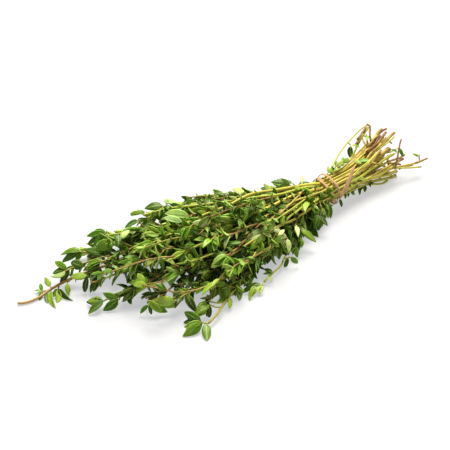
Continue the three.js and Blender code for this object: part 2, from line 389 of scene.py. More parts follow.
# Two thin stems, by the share of the full girth that they have. One is young and green: it ages only
# so far towards its tip, and its tint is among the greenest. The one that lies bare has the middle tint.
# All others stop so many points short of their tip, inside its leaves.
THIN_STEMS = {0: 0.7, 28: 0.62}
GREEN_STEMS = {0: 0.4}
GREENEST = 0.15
MIDDLE_TINT = 0.5
TIP_HIDDEN = 2

# A thin side stem that runs back beside each one towards its cut, in every row but the lowest.
SIDE_STEM_AT = (18, 30)
SIDE_STEM_LENGTH = (10, 18)
SIDE_STEM_SLANTS = (0.15, 0.3)
SIDE_STEM_RADIUS = 0.42

# Twigs near the cuts: the stem that bears each, its first and last radius, its age and tint, and its way
# from the tie.
TWIGS = [
    (28, 0.75, 0.6, 0.02, 1.0, [(29, 8.6, 22.4), (32, 9, 23.4), (35.5, 9.9, 24.8), (39.3, 11.2, 26.4)]),
    (23, 0.42, 0.35, 0.14, 0.1, [(4.3, 4.2, 17), (9, 6.2, 18.4), (14.8, 8.3, 19.8), (22, 10.4, 21.3),
     (30, 11.8, 23), (36, 12.4, 24.4), (40.5, 12.2, 25.4)]),
    (27, 0.75, 0.7, 0.02, 1.0, [(28, 2, 18), (33.5, 1, 20), (39, 2.1, 21), (45, 3.2, 23)]),
    (22, 0.7, 0.5, 0.06, 0.7, [(24, -1, 15.5), (28.5, 0, 17.5), (33.5, -0.9, 20), (38, 0.5, 20.5)]),
    (19, 0.55, 0.35, 0.02, 1.0, [(29, -3, 14), (33, -2.9, 16.5), (37, -2.4, 17.4), (40.4, -2, 18)]),
    (28, 0.6, 0.35, 0.02, 1.0, [(39.3, 11.2, 26.6), (39.6, 9.6, 26.4), (38.6, 8.3, 24), (35.8, 6.5, 20)]),
    (11, 0.5, 0.4, 0.02, 1.0, [(38, -9, 9), (39, -9, 13), (41, -8, 16), (44, -6.6, 21), (46.5, -5.5, 22)]),
    (19, 0.5, 0.45, 0.02, 1.0, [(36.2, 0.1, 14), (39, -0.4, 15), (42.7, -0.6, 16.5)]),
    (27, 0.7, 0.5, 0.02, 1.0, [(30, 2.6, 17.6), (38, 4.6, 20), (45, 6.4, 22), (49.5, 5.2, 23.2)]),
    (25, 0.8, 0.7, 0.02, 1.0, [(28, 1, 16), (36, 3.4, 17.4), (44, 6.4, 18.4), (47.5, 8.6, 19)]),
    (6, 0.45, 0.3, 0.03, 0.8, [(47, -5.2, 4.4), (51, -7, 5), (55, -9.4, 5.4)]),
    (26, 0.6, 0.5, 0.04, 0.9, [(31, 4.4, 19), (36, 4, 21.2), (40.5, 5, 22)]),
    (23, 0.6, 0.4, 0.02, 1.0, [(26, 7.6, 20.6), (31, 8.6, 22.8), (35, 9.6, 24.6)]),
]

# Branches that lie uppermost: the first and last radius and age of each, the share of it that is bare,
# and its way from the tie. Each grows out of the stem nearest to its start.
TOP_BRANCHES = [
    (0.95, 0.65, 0.12, 0.6, 0.62, [(-6, 1, 14), (-17, 2, 16.5), (-35, 5, 19.5), (-49, 8, 21.5),
     (-65, 6.5, 22.5), (-78, 8, 22.5), (-89, 9.5, 21.5)]),
    (0.75, 0.55, 0.12, 0.5, 0.45, [(-10, 0, 14), (-20, 1, 16.5), (-36, 1.5, 19), (-46, 4.5, 20.5),
     (-60, 11, 21), (-72, 17, 21.5), (-85, 24, 22), (-97, 29, 21)]),
    (0.95, 0.65, 0.12, 0.5, 0.5, [(-10, -2, 13), (-27, -1, 16.5), (-36, -1.5, 17.5), (-52, -3, 19),
     (-61, -2, 20), (-70, 0.5, 20), (-80, 0, 20)]),
    (0.75, 0.5, 0.12, 0.5, 0.42, [(-9, -3.5, 11.5), (-18, -5, 12.5), (-26, -6, 13.5), (-42, -8, 15),
     (-57, -9.5, 15.5), (-67, -8, 15.5), (-76, -9, 15)]),
    (0.85, 0.5, 0.1, 0.5, 0.4, [(-13, -5, 10.5), (-24, -8, 11.5), (-32, -9.5, 12), (-43, -11, 12.5),
     (-53, -10.5, 13), (-64, -13, 12)]),
    (0.65, 0.45, 0.3, 0.5, 0.4, [(-52, -9, 12.5), (-59, -12.5, 14), (-71, -13, 14.5), (-83, -14.5, 14.5),
     (-89, -15, 15)]),
    (0.7, 0.45, 0.5, 0.8, 0.3, [(-55, -13, 10), (-64, -15.5, 12.5), (-70, -17, 12), (-77, -19, 10.5),
     (-85, -20, 10.5), (-94, -21.5, 8.5)]),
    (0.5, 0.3, 0.5, 0.8, 0.1, [(-86, -19, 7), (-94, -20.5, 10), (-108, -20, 11), (-117, -17.5, 12.5),
     (-123, -12, 14.5), (-127, -5, 15)]),
    (0.5, 0.3, 0.6, 0.8, 0.2, [(-84, -11, 14), (-91, -11.5, 17), (-98, -11, 17.5), (-104, -9.5, 17.5),
     (-110, -5, 17)]),
    (0.4, 0.3, 0.7, 0.8, 0.2, [(-92, 2, 19), (-101, 3.5, 22), (-110, 7, 21), (-118, 13, 18)]),
    (0.4, 0.35, 0.85, 1.0, 0.3, [(-108, 0, 17), (-117, 1.5, 19.5), (-124, 6, 17.5), (-132, 11, 15.5),
     (-134, 17, 14)]),
    (0.5, 0.35, 0.3, 0.6, 0.3, [(-8, 4, 14.5), (-18, 1, 16), (-30, -3.5, 17), (-42, -7, 17),
     (-52, -9, 16)]),
    (0.5, 0.35, 0.3, 0.6, 0.3, [(-9, -3, 12), (-20, -0.5, 15), (-31, 4, 18), (-44, 9, 20),
     (-56, 13, 20.5)]),
]

# Leaves that stand out by themselves, each by its base and its tip from the tie, its form and its tint.
# The tints paint in light and shade as well as each leaf's own green.
LONE_LEAVES = [
    # On the cut side.
    ((18, -1.5, 15.5), (21, 1.5, 18), 4, 0.8), ((49.5, -2, 14.5), (48, -7, 12), 4, 0.5),
    ((46, -4, 14), (44.5, -1, 15), 3, 0.5), ((59, -8.5, 8.5), (56.5, -6, 10), 3, 0.7),
    ((59, -8.5, 8.5), (57.5, -9.5, 10.5), 3, 0.6), ((8.5, -5.5, 11), (14, -2.5, 12.5), 5, 0.95),
    ((8, -5.5, 10.5), (5.5, -8, 12), 1, 0.8), ((9, -5.5, 10), (11, -8.5, 9), 4, 0.35),
    ((15, -3.5, 14), (19.5, -5, 13.5), 4, 0.5), ((14.5, -3.5, 14), (12, -5, 15.5), 2, 0.8),
    ((12, -5, 12), (16, -8, 11), 3, 0.85), ((12, -5, 12), (8.5, -8, 13), 6, 0.7),
    # Low on the near side, at the tie and on from there, their dark tints a painted shade.
    ((8.5, -3.3, 6), (7.3, -4.5, 3), 3, 0.1), ((12, -3, 6), (10.5, -4.5, 3), 1, 0.08),
    ((15, -3.4, 6), (11.5, -4, 4.5), 5, 0.15), ((16.5, -3.6, 5.5), (14.3, -6.5, 2.5), 0, 0.05),
    ((19, -4.5, 5), (15.5, -5, 4), 4, 0.1), ((20, -4.8, 5), (17.5, -6.8, 3.2), 1, 0.12),
    ((22, -5, 5), (24.5, -5.2, 4), 3, 0.1), ((23, -5, 5), (22.5, -6.5, 3.5), 5, 0.15),
    ((24, -4.8, 4.5), (27.5, -5, 4), 1, 0.08), ((8.5, -4.5, 5.5), (11.5, -7, 4), 4, 0.4),
    ((-1.5, -6, 6.5), (-2.7, -9.4, 3), 4, 0.15), ((5, -4.5, 6), (2.5, -6.5, 5), 3, 0.25),
    ((-21, -11, 11), (-21, -14.5, 7.5), 4, 0.8), ((-25, -13, 10), (-31, -15, 6), 1, 0.35),
    ((-25, -13, 9), (-25, -18, 5), 5, 0.15), ((-20, -10, 9), (-24, -14, 5), 0, 0.3),
    ((-46, -20, 9), (-47, -23, 6), 4, 0.7), ((-42, -14, 11), (-46, -19, 9), 5, 1.0),
    ((-56, -22, 4), (-60.5, -24, 1), 4, 0.3),
    # On top of the near side and the middle, most of them pale, as painted light.
    ((-60, -12, 14), (-67, -8, 14), 1, 0.95), ((-64, -14, 14), (-72, -14, 13), 0, 0.85),
    ((-56, -12, 15.5), (-56, -17, 15), 5, 1.0), ((-59, -16, 15), (-55, -19, 13), 5, 0.9),
    ((-60, -9, 18), (-62, -2, 19), 1, 0.3), ((-77, 3, 20), (-80, 9, 21), 1, 0.5),
    ((-72, -4, 20), (-78, -3, 20), 0, 0.8), ((-42, -8, 17), (-42, -1, 18), 1, 0.35),
    ((-41, -1, 18), (-41, 4, 19), 4, 0.75), ((-89, -15, 17), (-93, -8, 17), 0, 0.3),
    ((-88, -16, 17), (-97, -16, 15), 1, 0.9), ((-78, -15, 18), (-83, -10, 18), 0, 0.4),
    ((-35, -13, 14.5), (-27, -7, 17), 6, 0.8),
    # Over the far side.
    ((-26, 7, 17), (-28, 14, 18), 0, 0.5), ((-21, 7, 17), (-25, 12, 19), 4, 0.3),
    ((-26, 6, 17), (-29, 12, 17), 1, 0.7), ((-33, 8, 17), (-35, 15, 18), 0, 0.3),
    ((-31, 8, 17), (-33, 13, 19), 4, 0.9), ((-56, 17, 20), (-58, 23, 21), 0, 0.35),
    ((-48, 12, 20), (-50, 19, 22), 1, 0.9), ((-50, 12, 20), (-51, 17, 21), 5, 0.95),
    ((-66, 17, 20), (-64, 19, 23.5), 5, 0.3), ((-69, 24, 20), (-73, 29, 22), 2, 0.3),
    ((-70, 22, 20), (-74, 28, 21), 4, 0.5), ((-70, 20, 20), (-73, 24, 20), 0, 0.8),
    ((-80, 34, 18), (-86, 38, 18), 1, 0.4), ((-78, 29, 20), (-80, 34, 22), 4, 1.0),
    ((-89, 34, 18), (-95, 39, 18), 2, 0.5),
    # All along the bunch.
    ((-84, 28, 21.5), (-91, 33, 22.5), 1, 0.35), ((-94, 30, 21), (-98, 36, 21), 2, 0.7),
    ((-79, 24.5, 21.5), (-80, 34, 22.5), 4, 1.0), ((-79, 22.5, 21.5), (-81, 28, 21.5), 0, 0.3),
    ((-69.5, 14, 21), (-63.5, 19, 23), 0, 0.3), ((-78, 1, 20.5), (-82, 7, 22.5), 1, 0.5),
    ((-73, -6, 17), (-78, -2, 20.5), 5, 0.7), ((-63, -2, 18.5), (-58, -8.5, 15.5), 0, 0.25),
    ((-83, 12, 22), (-90, 21, 23), 3, 0.95), ((-88, 10, 22), (-92.5, 21, 22), 6, 1.0),
    ((-111, 27, 19), (-116, 21, 18), 1, 0.3), ((-113, 24, 18), (-107, 24, 21), 0, 0.95),
    ((-116, 28, 18), (-123, 29, 16), 4, 0.6), ((-99.5, 27, 21), (-107, 27.5, 20), 3, 0.35),
    ((-125, -8, 14), (-129, 0, 16), 4, 0.75), ((-125, -6, 14.5), (-124, 1, 17), 0, 0.7),
    ((-88, -2, 20), (-90, 4, 22), 3, 0.35), ((-88, 0.5, 21), (-87.5, -4, 19.5), 5, 0.9),
    ((-78, -2, 19.5), (-86, -4, 19.5), 4, 0.5), ((-109, -6, 17), (-110.5, 1, 20.5), 2, 0.85),
    ((-109, -7, 17), (-110.5, -1.5, 19.5), 6, 0.9), ((-120, -18, 10), (-127.5, -14, 11.5), 1, 0.8),
    ((-129, -12, 11.5), (-128, -19, 9), 3, 0.6), ((-96, -20, 8), (-98, -25, 1.5), 0, 0.5),
    ((-105.5, -23, 5), (-115, -25.5, 4.5), 1, 0.65), ((-106, -22.5, 6), (-110, -26.5, 0.8), 6, 0.2),
    ((-75, -11, 14), (-83, -9.5, 17.5), 4, 0.45), ((-77, -13, 13), (-84.5, -13.5, 13.5), 3, 0.25),
    ((-66, -15, 11), (-68, -19, 8), 1, 0.5), ((-58.5, -11, 14), (-70.5, -11, 16), 0, 1.0),
    ((-53.5, -9, 14), (-50.5, -12.5, 11.5), 3, 1.0), ((-53, -15, 9.5), (-51.5, -19.5, 5), 1, 1.0),
    ((-63, -12.5, 13), (-71, -14, 12.5), 0, 0.9), ((-19.5, -8, 9), (-27.5, -15, 4), 0, 0.3),
    ((-20, -8, 9), (-17, -12, 4.5), 4, 0.25), ((-20.5, -7.5, 9.5), (-29, -13, 6.5), 3, 0.4),
    ((-41, -0.5, 18), (-40.5, -6.5, 15), 1, 0.2), ((-39, -1, 17.5), (-39, 5, 19.5), 5, 0.75),
    ((-40.5, 2, 19), (-47, 6, 20.5), 0, 0.6), ((-27, -6.5, 12), (-33, -2.5, 15.5), 3, 0.65),
    ((-16, 5, 16), (-15, 0.5, 14), 0, 0.75), ((-28, -8, 11), (-23, -2.5, 17), 6, 0.95),
    ((-34, 8, 18.5), (-38, 12, 19), 4, 0.3),
]

# Tufts of leaves that are listed, each by its base from the tie and by its leaves' tips, forms
# and tints.
# Their tints, as those above, paint in light and shade as well as each leaf's own green.
LEAF_TUFTS = [
    # The bare stem's few.
    ((-146, 36.5, 1.3), [((-144.4, 40.2, 3), 3, 0.5), ((-148.4, 39.9, 1.5), 6, 0.7),
     ((-149, 37.1, 1), 6, 0.8), ((-151, 32.8, 0.6), 2, 0.2)]),
    ((-142.5, 35.5, 2.2), [((-141.5, 40.3, 4.2), 5, 0.85), ((-143.5, 38.5, 4), 6, 0.7)]),
    ((-145.5, 34.5, 1.2), [((-150, 28.6, 0.6), 2, 0.3)]),
    ((-143.5, 33.8, 1.8), [((-150.3, 23.8, 0.6), 6, 0.75)]),
    ((-141, 32, 2.4), [((-145.8, 30, 1), 3, 0.45), ((-146.3, 24.8, 0.6), 2, 0.75),
     ((-141.9, 22.4, 0.6), 6, 0.25)]),
    ((-137, 31, 4), [((-140.1, 26.1, 0.8), 3, 0.65), ((-138.5, 27.5, 1.5), 2, 0.3)]),
    # The tips that stand off at the leafy end, on its far side.
    ((-124.5, 35.3, 12), [((-129, 44.4, 12.5), 4, 0.4), ((-130.7, 42.5, 11), 3, 0.6),
     ((-133.6, 40.8, 9.8), 2, 0.4), ((-128.8, 36, 9), 1, 0.5), ((-132, 42, 12), 6, 0.5)]),
    ((-108, 38.7, 13), [((-112.3, 46.8, 14), 4, 0.4), ((-115, 44.8, 12), 3, 0.5),
     ((-117.5, 42.4, 10.5), 2, 0.4), ((-116.7, 39.2, 9.6), 6, 0.45), ((-111, 39.4, 11), 3, 0.5)]),
    ((-112.7, 29.1, 12.5), [((-119.6, 33.7, 12), 5, 0.65), ((-112, 34.5, 14.5), 3, 0.6),
     ((-120, 30.5, 9), 0, 0.3)]),
    ((-118.5, 29.1, 10), [((-123.5, 31.5, 8.5), 2, 0.1), ((-118, 35, 10), 4, 0.12),
     ((-119.5, 26.5, 7), 3, 0.1)]),
    ((-133.7, 34.1, 8), [((-138.9, 39.3, 6.5), 0, 0.3), ((-135, 42, 9), 3, 0.65),
     ((-137.8, 35.9, 5), 2, 0.5)]),
    ((-123.7, 24, 10.5), [((-131.5, 27.5, 10.5), 1, 0.4)]),
    ((-129.8, 27.9, 10), [((-131.3, 37, 9.5), 0, 0.3)]),
    ((-131, 24, 8), [((-137.1, 28.7, 7), 5, 0.7), ((-135.7, 22.8, 1), 2, 0.1)]),
    ((-128.6, 21.1, 6), [((-131.9, 20, 2), 0, 0.12), ((-134, 21, 3), 1, 0.2)]),
    # The tips that stand off at the leafy end and along the near side.
    ((-130, 5.4, 4), [((-132.5, 12.2, 5.5), 5, 0.6), ((-134.2, 8, 3), 3, 0.6),
     ((-137.5, 6.8, 1.2), 0, 0.35)]),
    ((-134.4, 9.8, 3.5), [((-139, 16, 4), 1, 0.57), ((-140.8, 12, 2), 2, 0.2),
     ((-142.8, 10.1, 0.8), 3, 0.4), ((-139, 17.2, 1.5), 0, 0.1)]),
    ((-124.5, -7, 5), [((-128, -5.1, 1.2), 3, 0.5), ((-125.5, -9.8, 1.2), 2, 0.15),
     ((-119.7, -13.2, 2), 3, 0.55)]),
    ((-121.4, -8.6, 6), [((-117.2, -16.3, 5), 1, 0.7)]),
    ((-120, -1.5, 9), [((-119.3, 8.3, 11), 0, 0.75), ((-123.5, 7.3, 9), 3, 0.7), ((-118, 3, 12.5), 2, 0.5),
     ((-126, 2, 8), 2, 0.6), ((-116.5, -6, 10.5), 3, 0.6)]),
    ((-116.5, -29.9, 3.6), [((-117.8, -19.8, 5), 0, 0.3), ((-120.5, -21, 3), 2, 0.1),
     ((-122.6, -25.2, 2), 2, 0.3), ((-123.2, -26.5, 2.8), 3, 0.7), ((-126.5, -29.7, 0.8), 0, 0.55),
     ((-118.5, -31, 1.2), 6, 0.3)]),
    ((-115.1, -30.8, 3), [((-121.2, -37.6, 0.8), 0, 0.5)]),
    ((-108, -26, 6), [((-116, -25, 5.5), 1, 0.55), ((-111.1, -27.8, 1), 2, 0.1)]),
    ((-79, -27.8, 3), [((-83.2, -30.3, 1.2), 3, 0.85), ((-84, -22.5, 3.5), 2, 0.3),
     ((-86.5, -28.5, 1), 6, 0.8)]),
    ((-81.5, -26, 3.5), [((-85, -22, 3), 6, 0.3), ((-88.3, -24.1, 2), 2, 0.2),
     ((-89.3, -29.8, 0.8), 6, 0.7)]),
    ((-70, -25.8, 3.8), [((-70.3, -20.3, 5), 1, 0.35), ((-74, -25, 2), 6, 0.7),
     ((-72.5, -22, 3), 3, 0.4)]),
    ((-72, -26.3, 3.5), [((-76, -25.5, 2.5), 6, 0.9), ((-74, -29, 3), 6, 0.9)]),
    ((-95.5, -22.7, 9), [((-98.3, -26.5, 3), 1, 0.45), ((-101, -21, 10), 3, 0.55)]),
    ((-101, -20.5, 10.5), [((-104.5, -23.8, 6), 3, 0.4), ((-106, -17, 11), 2, 0.5)]),
    ((-109, -13.5, 9), [((-114.6, -12.3, 6), 3, 0.75), ((-105.5, -9, 12.5), 2, 0.4)]),
    # The near side and the middle.
    ((-17, -8.5, 9.5), [((-25.7, -13.4, 2), 0, 0.22), ((-21.2, -10.5, 5), 3, 0.55),
     ((-15, -13, 4), 4, 0.3), ((-22.2, -13, 6), 2, 0.2), ((-18, -12, 3.5), 0, 0.12)]),
    ((-22, -8, 11.5), [((-23.5, -11.5, 8.5), 5, 0.98), ((-28, -12.5, 7), 3, 0.4),
     ((-24.5, -13.5, 5), 2, 0.1)]),
    ((-13, -7.5, 9), [((-14.5, -12, 3), 3, 0.35), ((-18.5, -12, 5.5), 4, 0.65)]),
    ((-64.5, -15, 16), [((-70.5, -11.2, 15), 1, 1.0), ((-59.5, -11, 18), 3, 0.9)]),
    ((-67.5, -15.5, 15), [((-73.5, -15.4, 13), 1, 0.75), ((-71, -21, 10.5), 3, 0.6)]),
    ((-57, -18.4, 15), [((-58.9, -14, 17.3), 1, 1.0)]),
    ((-63.7, -19, 16), [((-64.2, -13.6, 18), 1, 0.95)]),
    ((-60.6, -19.7, 16), [((-54.6, -18.4, 17), 0, 1.0)]),
    ((-64.3, -18.4, 15), [((-62.7, -22.4, 12), 5, 0.9)]),
    ((-55.2, -20.4, 13), [((-58.9, -16.6, 16), 0, 0.98), ((-58.2, -25, 9), 1, 0.97)]),
    ((-44.7, -16, 13), [((-48.4, -21, 11), 3, 1.0)]),
    ((-41.8, -16.7, 10), [((-38.5, -24, 6), 0, 0.6)]),
    ((-44.8, -20, 8), [((-47.5, -22.5, 6), 1, 0.6)]),
    ((-57.5, -24.3, 6), [((-54, -27.3, 2), 1, 0.5)]),
    ((-59.8, -9.5, 14), [((-61.2, -1.7, 16.5), 1, 0.4)]),
    ((-43.5, -15, 13), [((-48, -20.3, 11), 6, 1.0)]),
    ((-42, -1, 17.5), [((-41, -8.3, 15.5), 1, 0.25)]),
    ((-24.5, 5.5, 18), [((-30.7, 12.1, 20), 3, 0.35), ((-28.4, 8.8, 21.5), 5, 0.45),
     ((-32.5, 7, 18.5), 3, 0.3)]),
    ((-36, 6.5, 18), [((-40.3, 10.5, 20), 2, 0.2), ((-37, 11.5, 21), 5, 0.95)]),
    ((-18.4, 3.5, 16), [((-14.4, 7.5, 19.5), 6, 0.95), ((-18.5, -1.5, 15), 3, 0.8)]),
    ((-46, 6.6, 18.5), [((-41.5, 3.4, 18.5), 0, 0.3)]),
    ((-39, 5.5, 18), [((-37.5, 0.5, 17.5), 3, 0.75)]),
    ((-29.5, -5, 14), [((-34.5, -2.9, 15), 3, 0.7), ((-28, -9.5, 12), 2, 0.35)]),
    ((-13, 2.5, 15.5), [((-18.5, 6, 17.5), 2, 0.3), ((-17, -2, 14.5), 3, 0.55)]),
    ((-14, -4, 13), [((-19, -7.5, 12), 4, 0.6), ((-20, -3, 14.5), 2, 0.3)]),
    # On the cut side.
    ((0.5, 3.4, 16), [((6.5, 3.5, 17.4), 1, 0.85), ((3, 6, 17.8), 5, 0.9)]),
    ((6.5, 3.5, 16.8), [((12, 4, 18.2), 5, 0.95), ((4, 4.5, 19), 1, 0.9), ((9.5, 6, 18.8), 3, 0.5)]),
    ((4, 2.7, 16), [((9.8, 2.8, 17), 0, 0.9)]),
    ((9, 3.2, 16.8), [((14.5, 4.2, 18.4), 1, 0.8)]),
    ((12, 3.6, 17.2), [((17.5, 3.6, 18.6), 1, 0.7), ((14.5, 6, 19), 3, 0.6)]),
    ((23, 8, 21.3), [((20, 6.4, 15.6), 1, 0.15), ((27, 4.8, 21), 6, 0.8), ((22, 9.5, 23), 3, 0.75)]),
    ((24.5, -3.6, 16.6), [((18.6, 2, 17), 1, 0.6)]),
    ((20, -2, 16), [((16, 1.5, 17.5), 5, 0.95)]),
    ((35.5, 7.5, 22.6), [((31.5, 4.5, 22.3), 3, 0.75)]),
]
LONE_LEAVES += [(base, *leaf) for base, leaves in LEAF_TUFTS for leaf in leaves]

# The deepest gaps between the branches, from the tie, on a line of sight that nothing crosses.
GAPS = [
    (-93, -14, 12), (-96, -15, 12), (-88, -8, 12), (-91, -6, 12), (-104, -10, 10), (-109, -12, 10),
    (-113, -11, 10), (-58, -16, 5), (-62, -17, 5), (-66, -18, 5), (-76, -16, 7), (-79, -18, 6),
    (-50, -14, 7), (-24, -9, 7), (-64, -6, 12), (-118, -6, 9),
]

# The bunch is laid out to be seen from above, between its near side and its leafy end. Few leaves and no
# shoots stand in front of the listed branches, leaves and gaps, as seen from there. The
# rule for branches is stricter near the tie, and each leaf is kept clear at two shares of its length.
SEEN_FROM = Vector((-0.6145, -0.6102, 0.5))
CLEAR_WIDTH = 1.7
CLEAR_DEPTH = 0.5
CLEAR_SHARES = (0.4, 0.8)
BRANCH_STRICTNESS = (0.6, 0.15)
STRICT_PAST_TIE = 42
LEAF_STRICTNESS = 0.9

clear_spots = [(point, BRANCH_STRICTNESS[point.x < TIE.x - STRICT_PAST_TIE]) for *_, way in TOP_BRANCHES
               for point in Run(through([from_tie(*corner) for corner in way])).points]
clear_spots += [(from_tie(*base).lerp(from_tie(*tip), share), LEAF_STRICTNESS)
                for base, tip, *_ in LONE_LEAVES for share in CLEAR_SHARES]
clear_spots += [(from_tie(*gap), LEAF_STRICTNESS) for gap in GAPS]


def as_seen(spot):
    """A spot's place across the line of sight."""
    beside = Vector((0, 0, 1)).cross(SEEN_FROM).normalized()
    over = SEEN_FROM.normalized().cross(beside)
    return Vector((spot.dot(beside), spot.dot(over), 0))


clear_tree = KDTree(len(clear_spots))
for index, (spot, _) in enumerate(clear_spots):
    clear_tree.insert(as_seen(spot), index)
clear_tree.balance()


def in_front(spot):
    """How strictly this spot is kept free for what lies behind it, from 0."""
    found = [clear_spots[index] for _, index, _ in clear_tree.find_range(as_seen(spot), CLEAR_WIDTH)]
    return max((strictness for behind, strictness in found
                if (spot - behind).dot(SEEN_FROM) > CLEAR_DEPTH), default=0)


WANDER_SEED = 3
FIRST_DICE = 11

noise.seed_set(WANDER_SEED)
sprigs = []
for row, tips in enumerate(TIPS):
    for column in range(len(tips)):
        number = len(sprigs)
        run = stem_run(number, row, column)
        dice = random.Random(number + FIRST_DICE)
        waist_at = next(i for i, point in enumerate(run.points) if point.x < TIE.x - WAIST_TO_TIPS) * STEP
        leafy_from = waist_at + between(*BARE[row], vary(number, 1))
        bare = [waist_at + end for end in BARE_STRETCH.get(number, (0, 0))]
        bare_tip = BARE_TIP.get(number, 0)

        # The CAD's shoot.
        cad_shoot_at = between(waist_at + between(*CAD_BARE, vary(number, 1)), run.length,
                               between(*CAD_SHOOT_SHARES, vary(number, 4)))
        cad_shoot_turn = (number % 2) * math.pi + between(*CAD_SHOOT_TURNS, vary(number, 5))
        shoots = [shoot_run(*run.at(cad_shoot_at), cad_shoot_turn, CAD_SHOOT_LENGTH, CAD_SHOOT_SLANT)]
        if number in BARE_TIP or max(outside(shoots[0].points[-1])) > 0:
            shoots.clear()

        # The fork.
        fork_at = waist_at + dice.uniform(*FORK_AT)
        fork_turn = dice.choice((0, math.pi)) + dice.uniform(-OFF_LEVEL, OFF_LEVEL)
        fork_length = min(dice.uniform(*FORK_LENGTH), run.length - fork_at - FORK_BEFORE_TIP)
        if column in (0, len(tips) - 1):
            fork_turn = math.pi if column == 0 else 0
            fork_length *= OUTER_FORKS
        fork_slant = dice.uniform(*FORK_SLANTS)
        fork = shoot_run(*run.at(fork_at), fork_turn, fork_length, fork_slant)
        while max(outside(fork.points[-1])) > -FORK_INSIDE and fork_length > SHORTEST_FORK:
            fork_length *= FORK_SHRINK
            fork = shoot_run(*run.at(fork_at), fork_turn, fork_length, fork_slant)

        # The other side shoots.
        for index in range(SHOOTS_ON_STEM):
            share = (index % SHOOT_PLACES + dice.random()) / SHOOT_PLACES
            if number in BARE_STRETCH:
                share *= SHARE_BEFORE_BARE
            at = between(leafy_from, run.length - NO_SHOOTS_NEAR_TIP, share)
            side = dice.choice((0, math.pi)) + dice.uniform(-OFF_LEVEL, OFF_LEVEL)
            length = between(*SHOOT_LENGTHS, share) * dice.uniform(*LENGTHS_VARY)
            if column == 0:
                side, length = dice.uniform(*NEAR_TURNS), length * NEAR_SHORTER
            elif row < LOWER_ROWS and at > waist_at + TURNED_UP_FROM:
                side = dice.uniform(-OFF_LEVEL, math.pi + OFF_LEVEL)
            shoot = shoot_run(*run.at(at), side, length, dice.uniform(*SHOOT_SLANTS))
            past_near, past_far = outside(shoot.points[-1])
            kept = past_near < 0 and past_far < dice.uniform(*FAR_SHOOTS) and at < run.length - bare_tip
            if kept and not any(in_front(point) for point in shoot.points[1::2]):
                shoots.append(shoot)

        # The side stem towards the cut.
        back, side_at = run.at(dice.uniform(*SIDE_STEM_AT)), dice.uniform(0, 2 * math.pi)
        side_stem = shoot_run(back[0], -back[1], side_at, dice.uniform(*SIDE_STEM_LENGTH),
                              dice.uniform(*SIDE_STEM_SLANTS))
        tint = GREENEST if number in GREEN_STEMS else vary(number, 9)
        if number in LAST_BENDS:
            tint = MIDDLE_TINT
        sprigs.append({"number": number, "row": row, "run": run, "fork": fork, "shoots": shoots,
                       "side_stem": side_stem, "dice": dice, "waist_at": waist_at,
                       "leafy_from": leafy_from, "bare": bare, "bare_tip": bare_tip, "tint": tint,
                       "branches": [], "stalks": []})


def nearest_stem(spot):
    """The sprig that passes nearest to a spot, and where."""
    _, number, place = min(((point - spot).length, sprig["number"], tuple(point)) for sprig in sprigs
                           for run in (sprig["run"], sprig["fork"], *sprig["shoots"])
                           for point in run.points)
    return number, Vector(place)


for *looks, way in TOP_BRANCHES:
    corners = [from_tie(*corner) for corner in way]
    bearer, corners[0] = nearest_stem(corners[0])
    sprigs[bearer]["branches"].append((Run(through(corners)), *looks))

# Each listed leaf sits on a stalk of its own, which leaves the nearest stem a little nearer
# to the waist.
STALK_BACK = 5

leaf_bearers = {}
for base, *_ in LONE_LEAVES:
    if base not in leaf_bearers:
        seat = from_tie(*base)
        _, nearest = nearest_stem(seat)
        back = min((nearest - seat).length, STALK_BACK) * (-1 if base[0] > 0 else 1)
        leaf_bearers[base], start = nearest_stem(nearest + Vector((back, 0, 0)))
        sprigs[leaf_bearers[base]]["stalks"].append((start, seat))


def new_skin(name, roughness, specular):
    """A new material, with the nodes and the links of its tree and its main shader."""
    material = bpy.data.materials.new(name)
    material.use_nodes = True
    shader = material.node_tree.nodes["Principled BSDF"]
    shader.inputs["Roughness"].default_value = roughness
    shader.inputs["Specular IOR Level"].default_value = specular
    return material, material.node_tree.nodes, material.node_tree.links, shader


def put(value, socket):
    """Links a socket's value, or sets a number or a colour directly."""
    if isinstance(value, bpy.types.NodeSocket):
        links.new(value, socket)
    else:
        socket.default_value = (*value, 1) if isinstance(value, tuple) else value


def attribute(name):
    """A value that the mesh holds at each of its points."""
    found = nodes.new("ShaderNodeAttribute")
    found.attribute_name = name
    return found.outputs["Fac"]


def ramped(value, stops):
    """The colour that a value stands for, between the colours of its stops."""
    ramp = nodes.new("ShaderNodeValToRGB")
    while len(ramp.color_ramp.elements) < len(stops):
        ramp.color_ramp.elements.new(0.5)
    for element, (position, colour) in zip(ramp.color_ramp.elements, stops):
        element.position = position
        element.color = (*colour, 1)
    put(value, ramp.inputs["Fac"])
    return ramp.outputs["Color"]


def mixed(share, first, second, blend="MIX"):
    """Two colours mixed by a share; each is a colour or a socket."""
    mix = nodes.new("ShaderNodeMixRGB")
    mix.blend_type = blend
    for value, socket in zip((share, first, second), mix.inputs):
        put(value, socket)
    return mix.outputs["Color"]


def ranged(value, low, high, to_low=0.0, to_high=1.0):
    """A value brought from one range to another, and kept within it."""
    ranging = nodes.new("ShaderNodeMapRange")
    put(value, ranging.inputs["Value"])
    for socket, limit in (("From Min", low), ("From Max", high), ("To Min", to_low), ("To Max", to_high)):
        ranging.inputs[socket].default_value = limit
    return ranging.outputs["Result"]


def worked(operation, first, second=0.0):
    """One step of arithmetic on values or sockets."""
    step = nodes.new("ShaderNodeMath")
    step.operation = operation
    put(first, step.inputs[0])
    put(second, step.inputs[1])
    return step.outputs["Value"]


def speckled(vector, scale, detail):
    """Noise over the places that a socket gives."""
    speckles = nodes.new("ShaderNodeTexNoise")
    put(scale, speckles.inputs["Scale"])
    put(detail, speckles.inputs["Detail"])
    put(vector, speckles.inputs["Vector"])
    return speckles.outputs["Fac"]


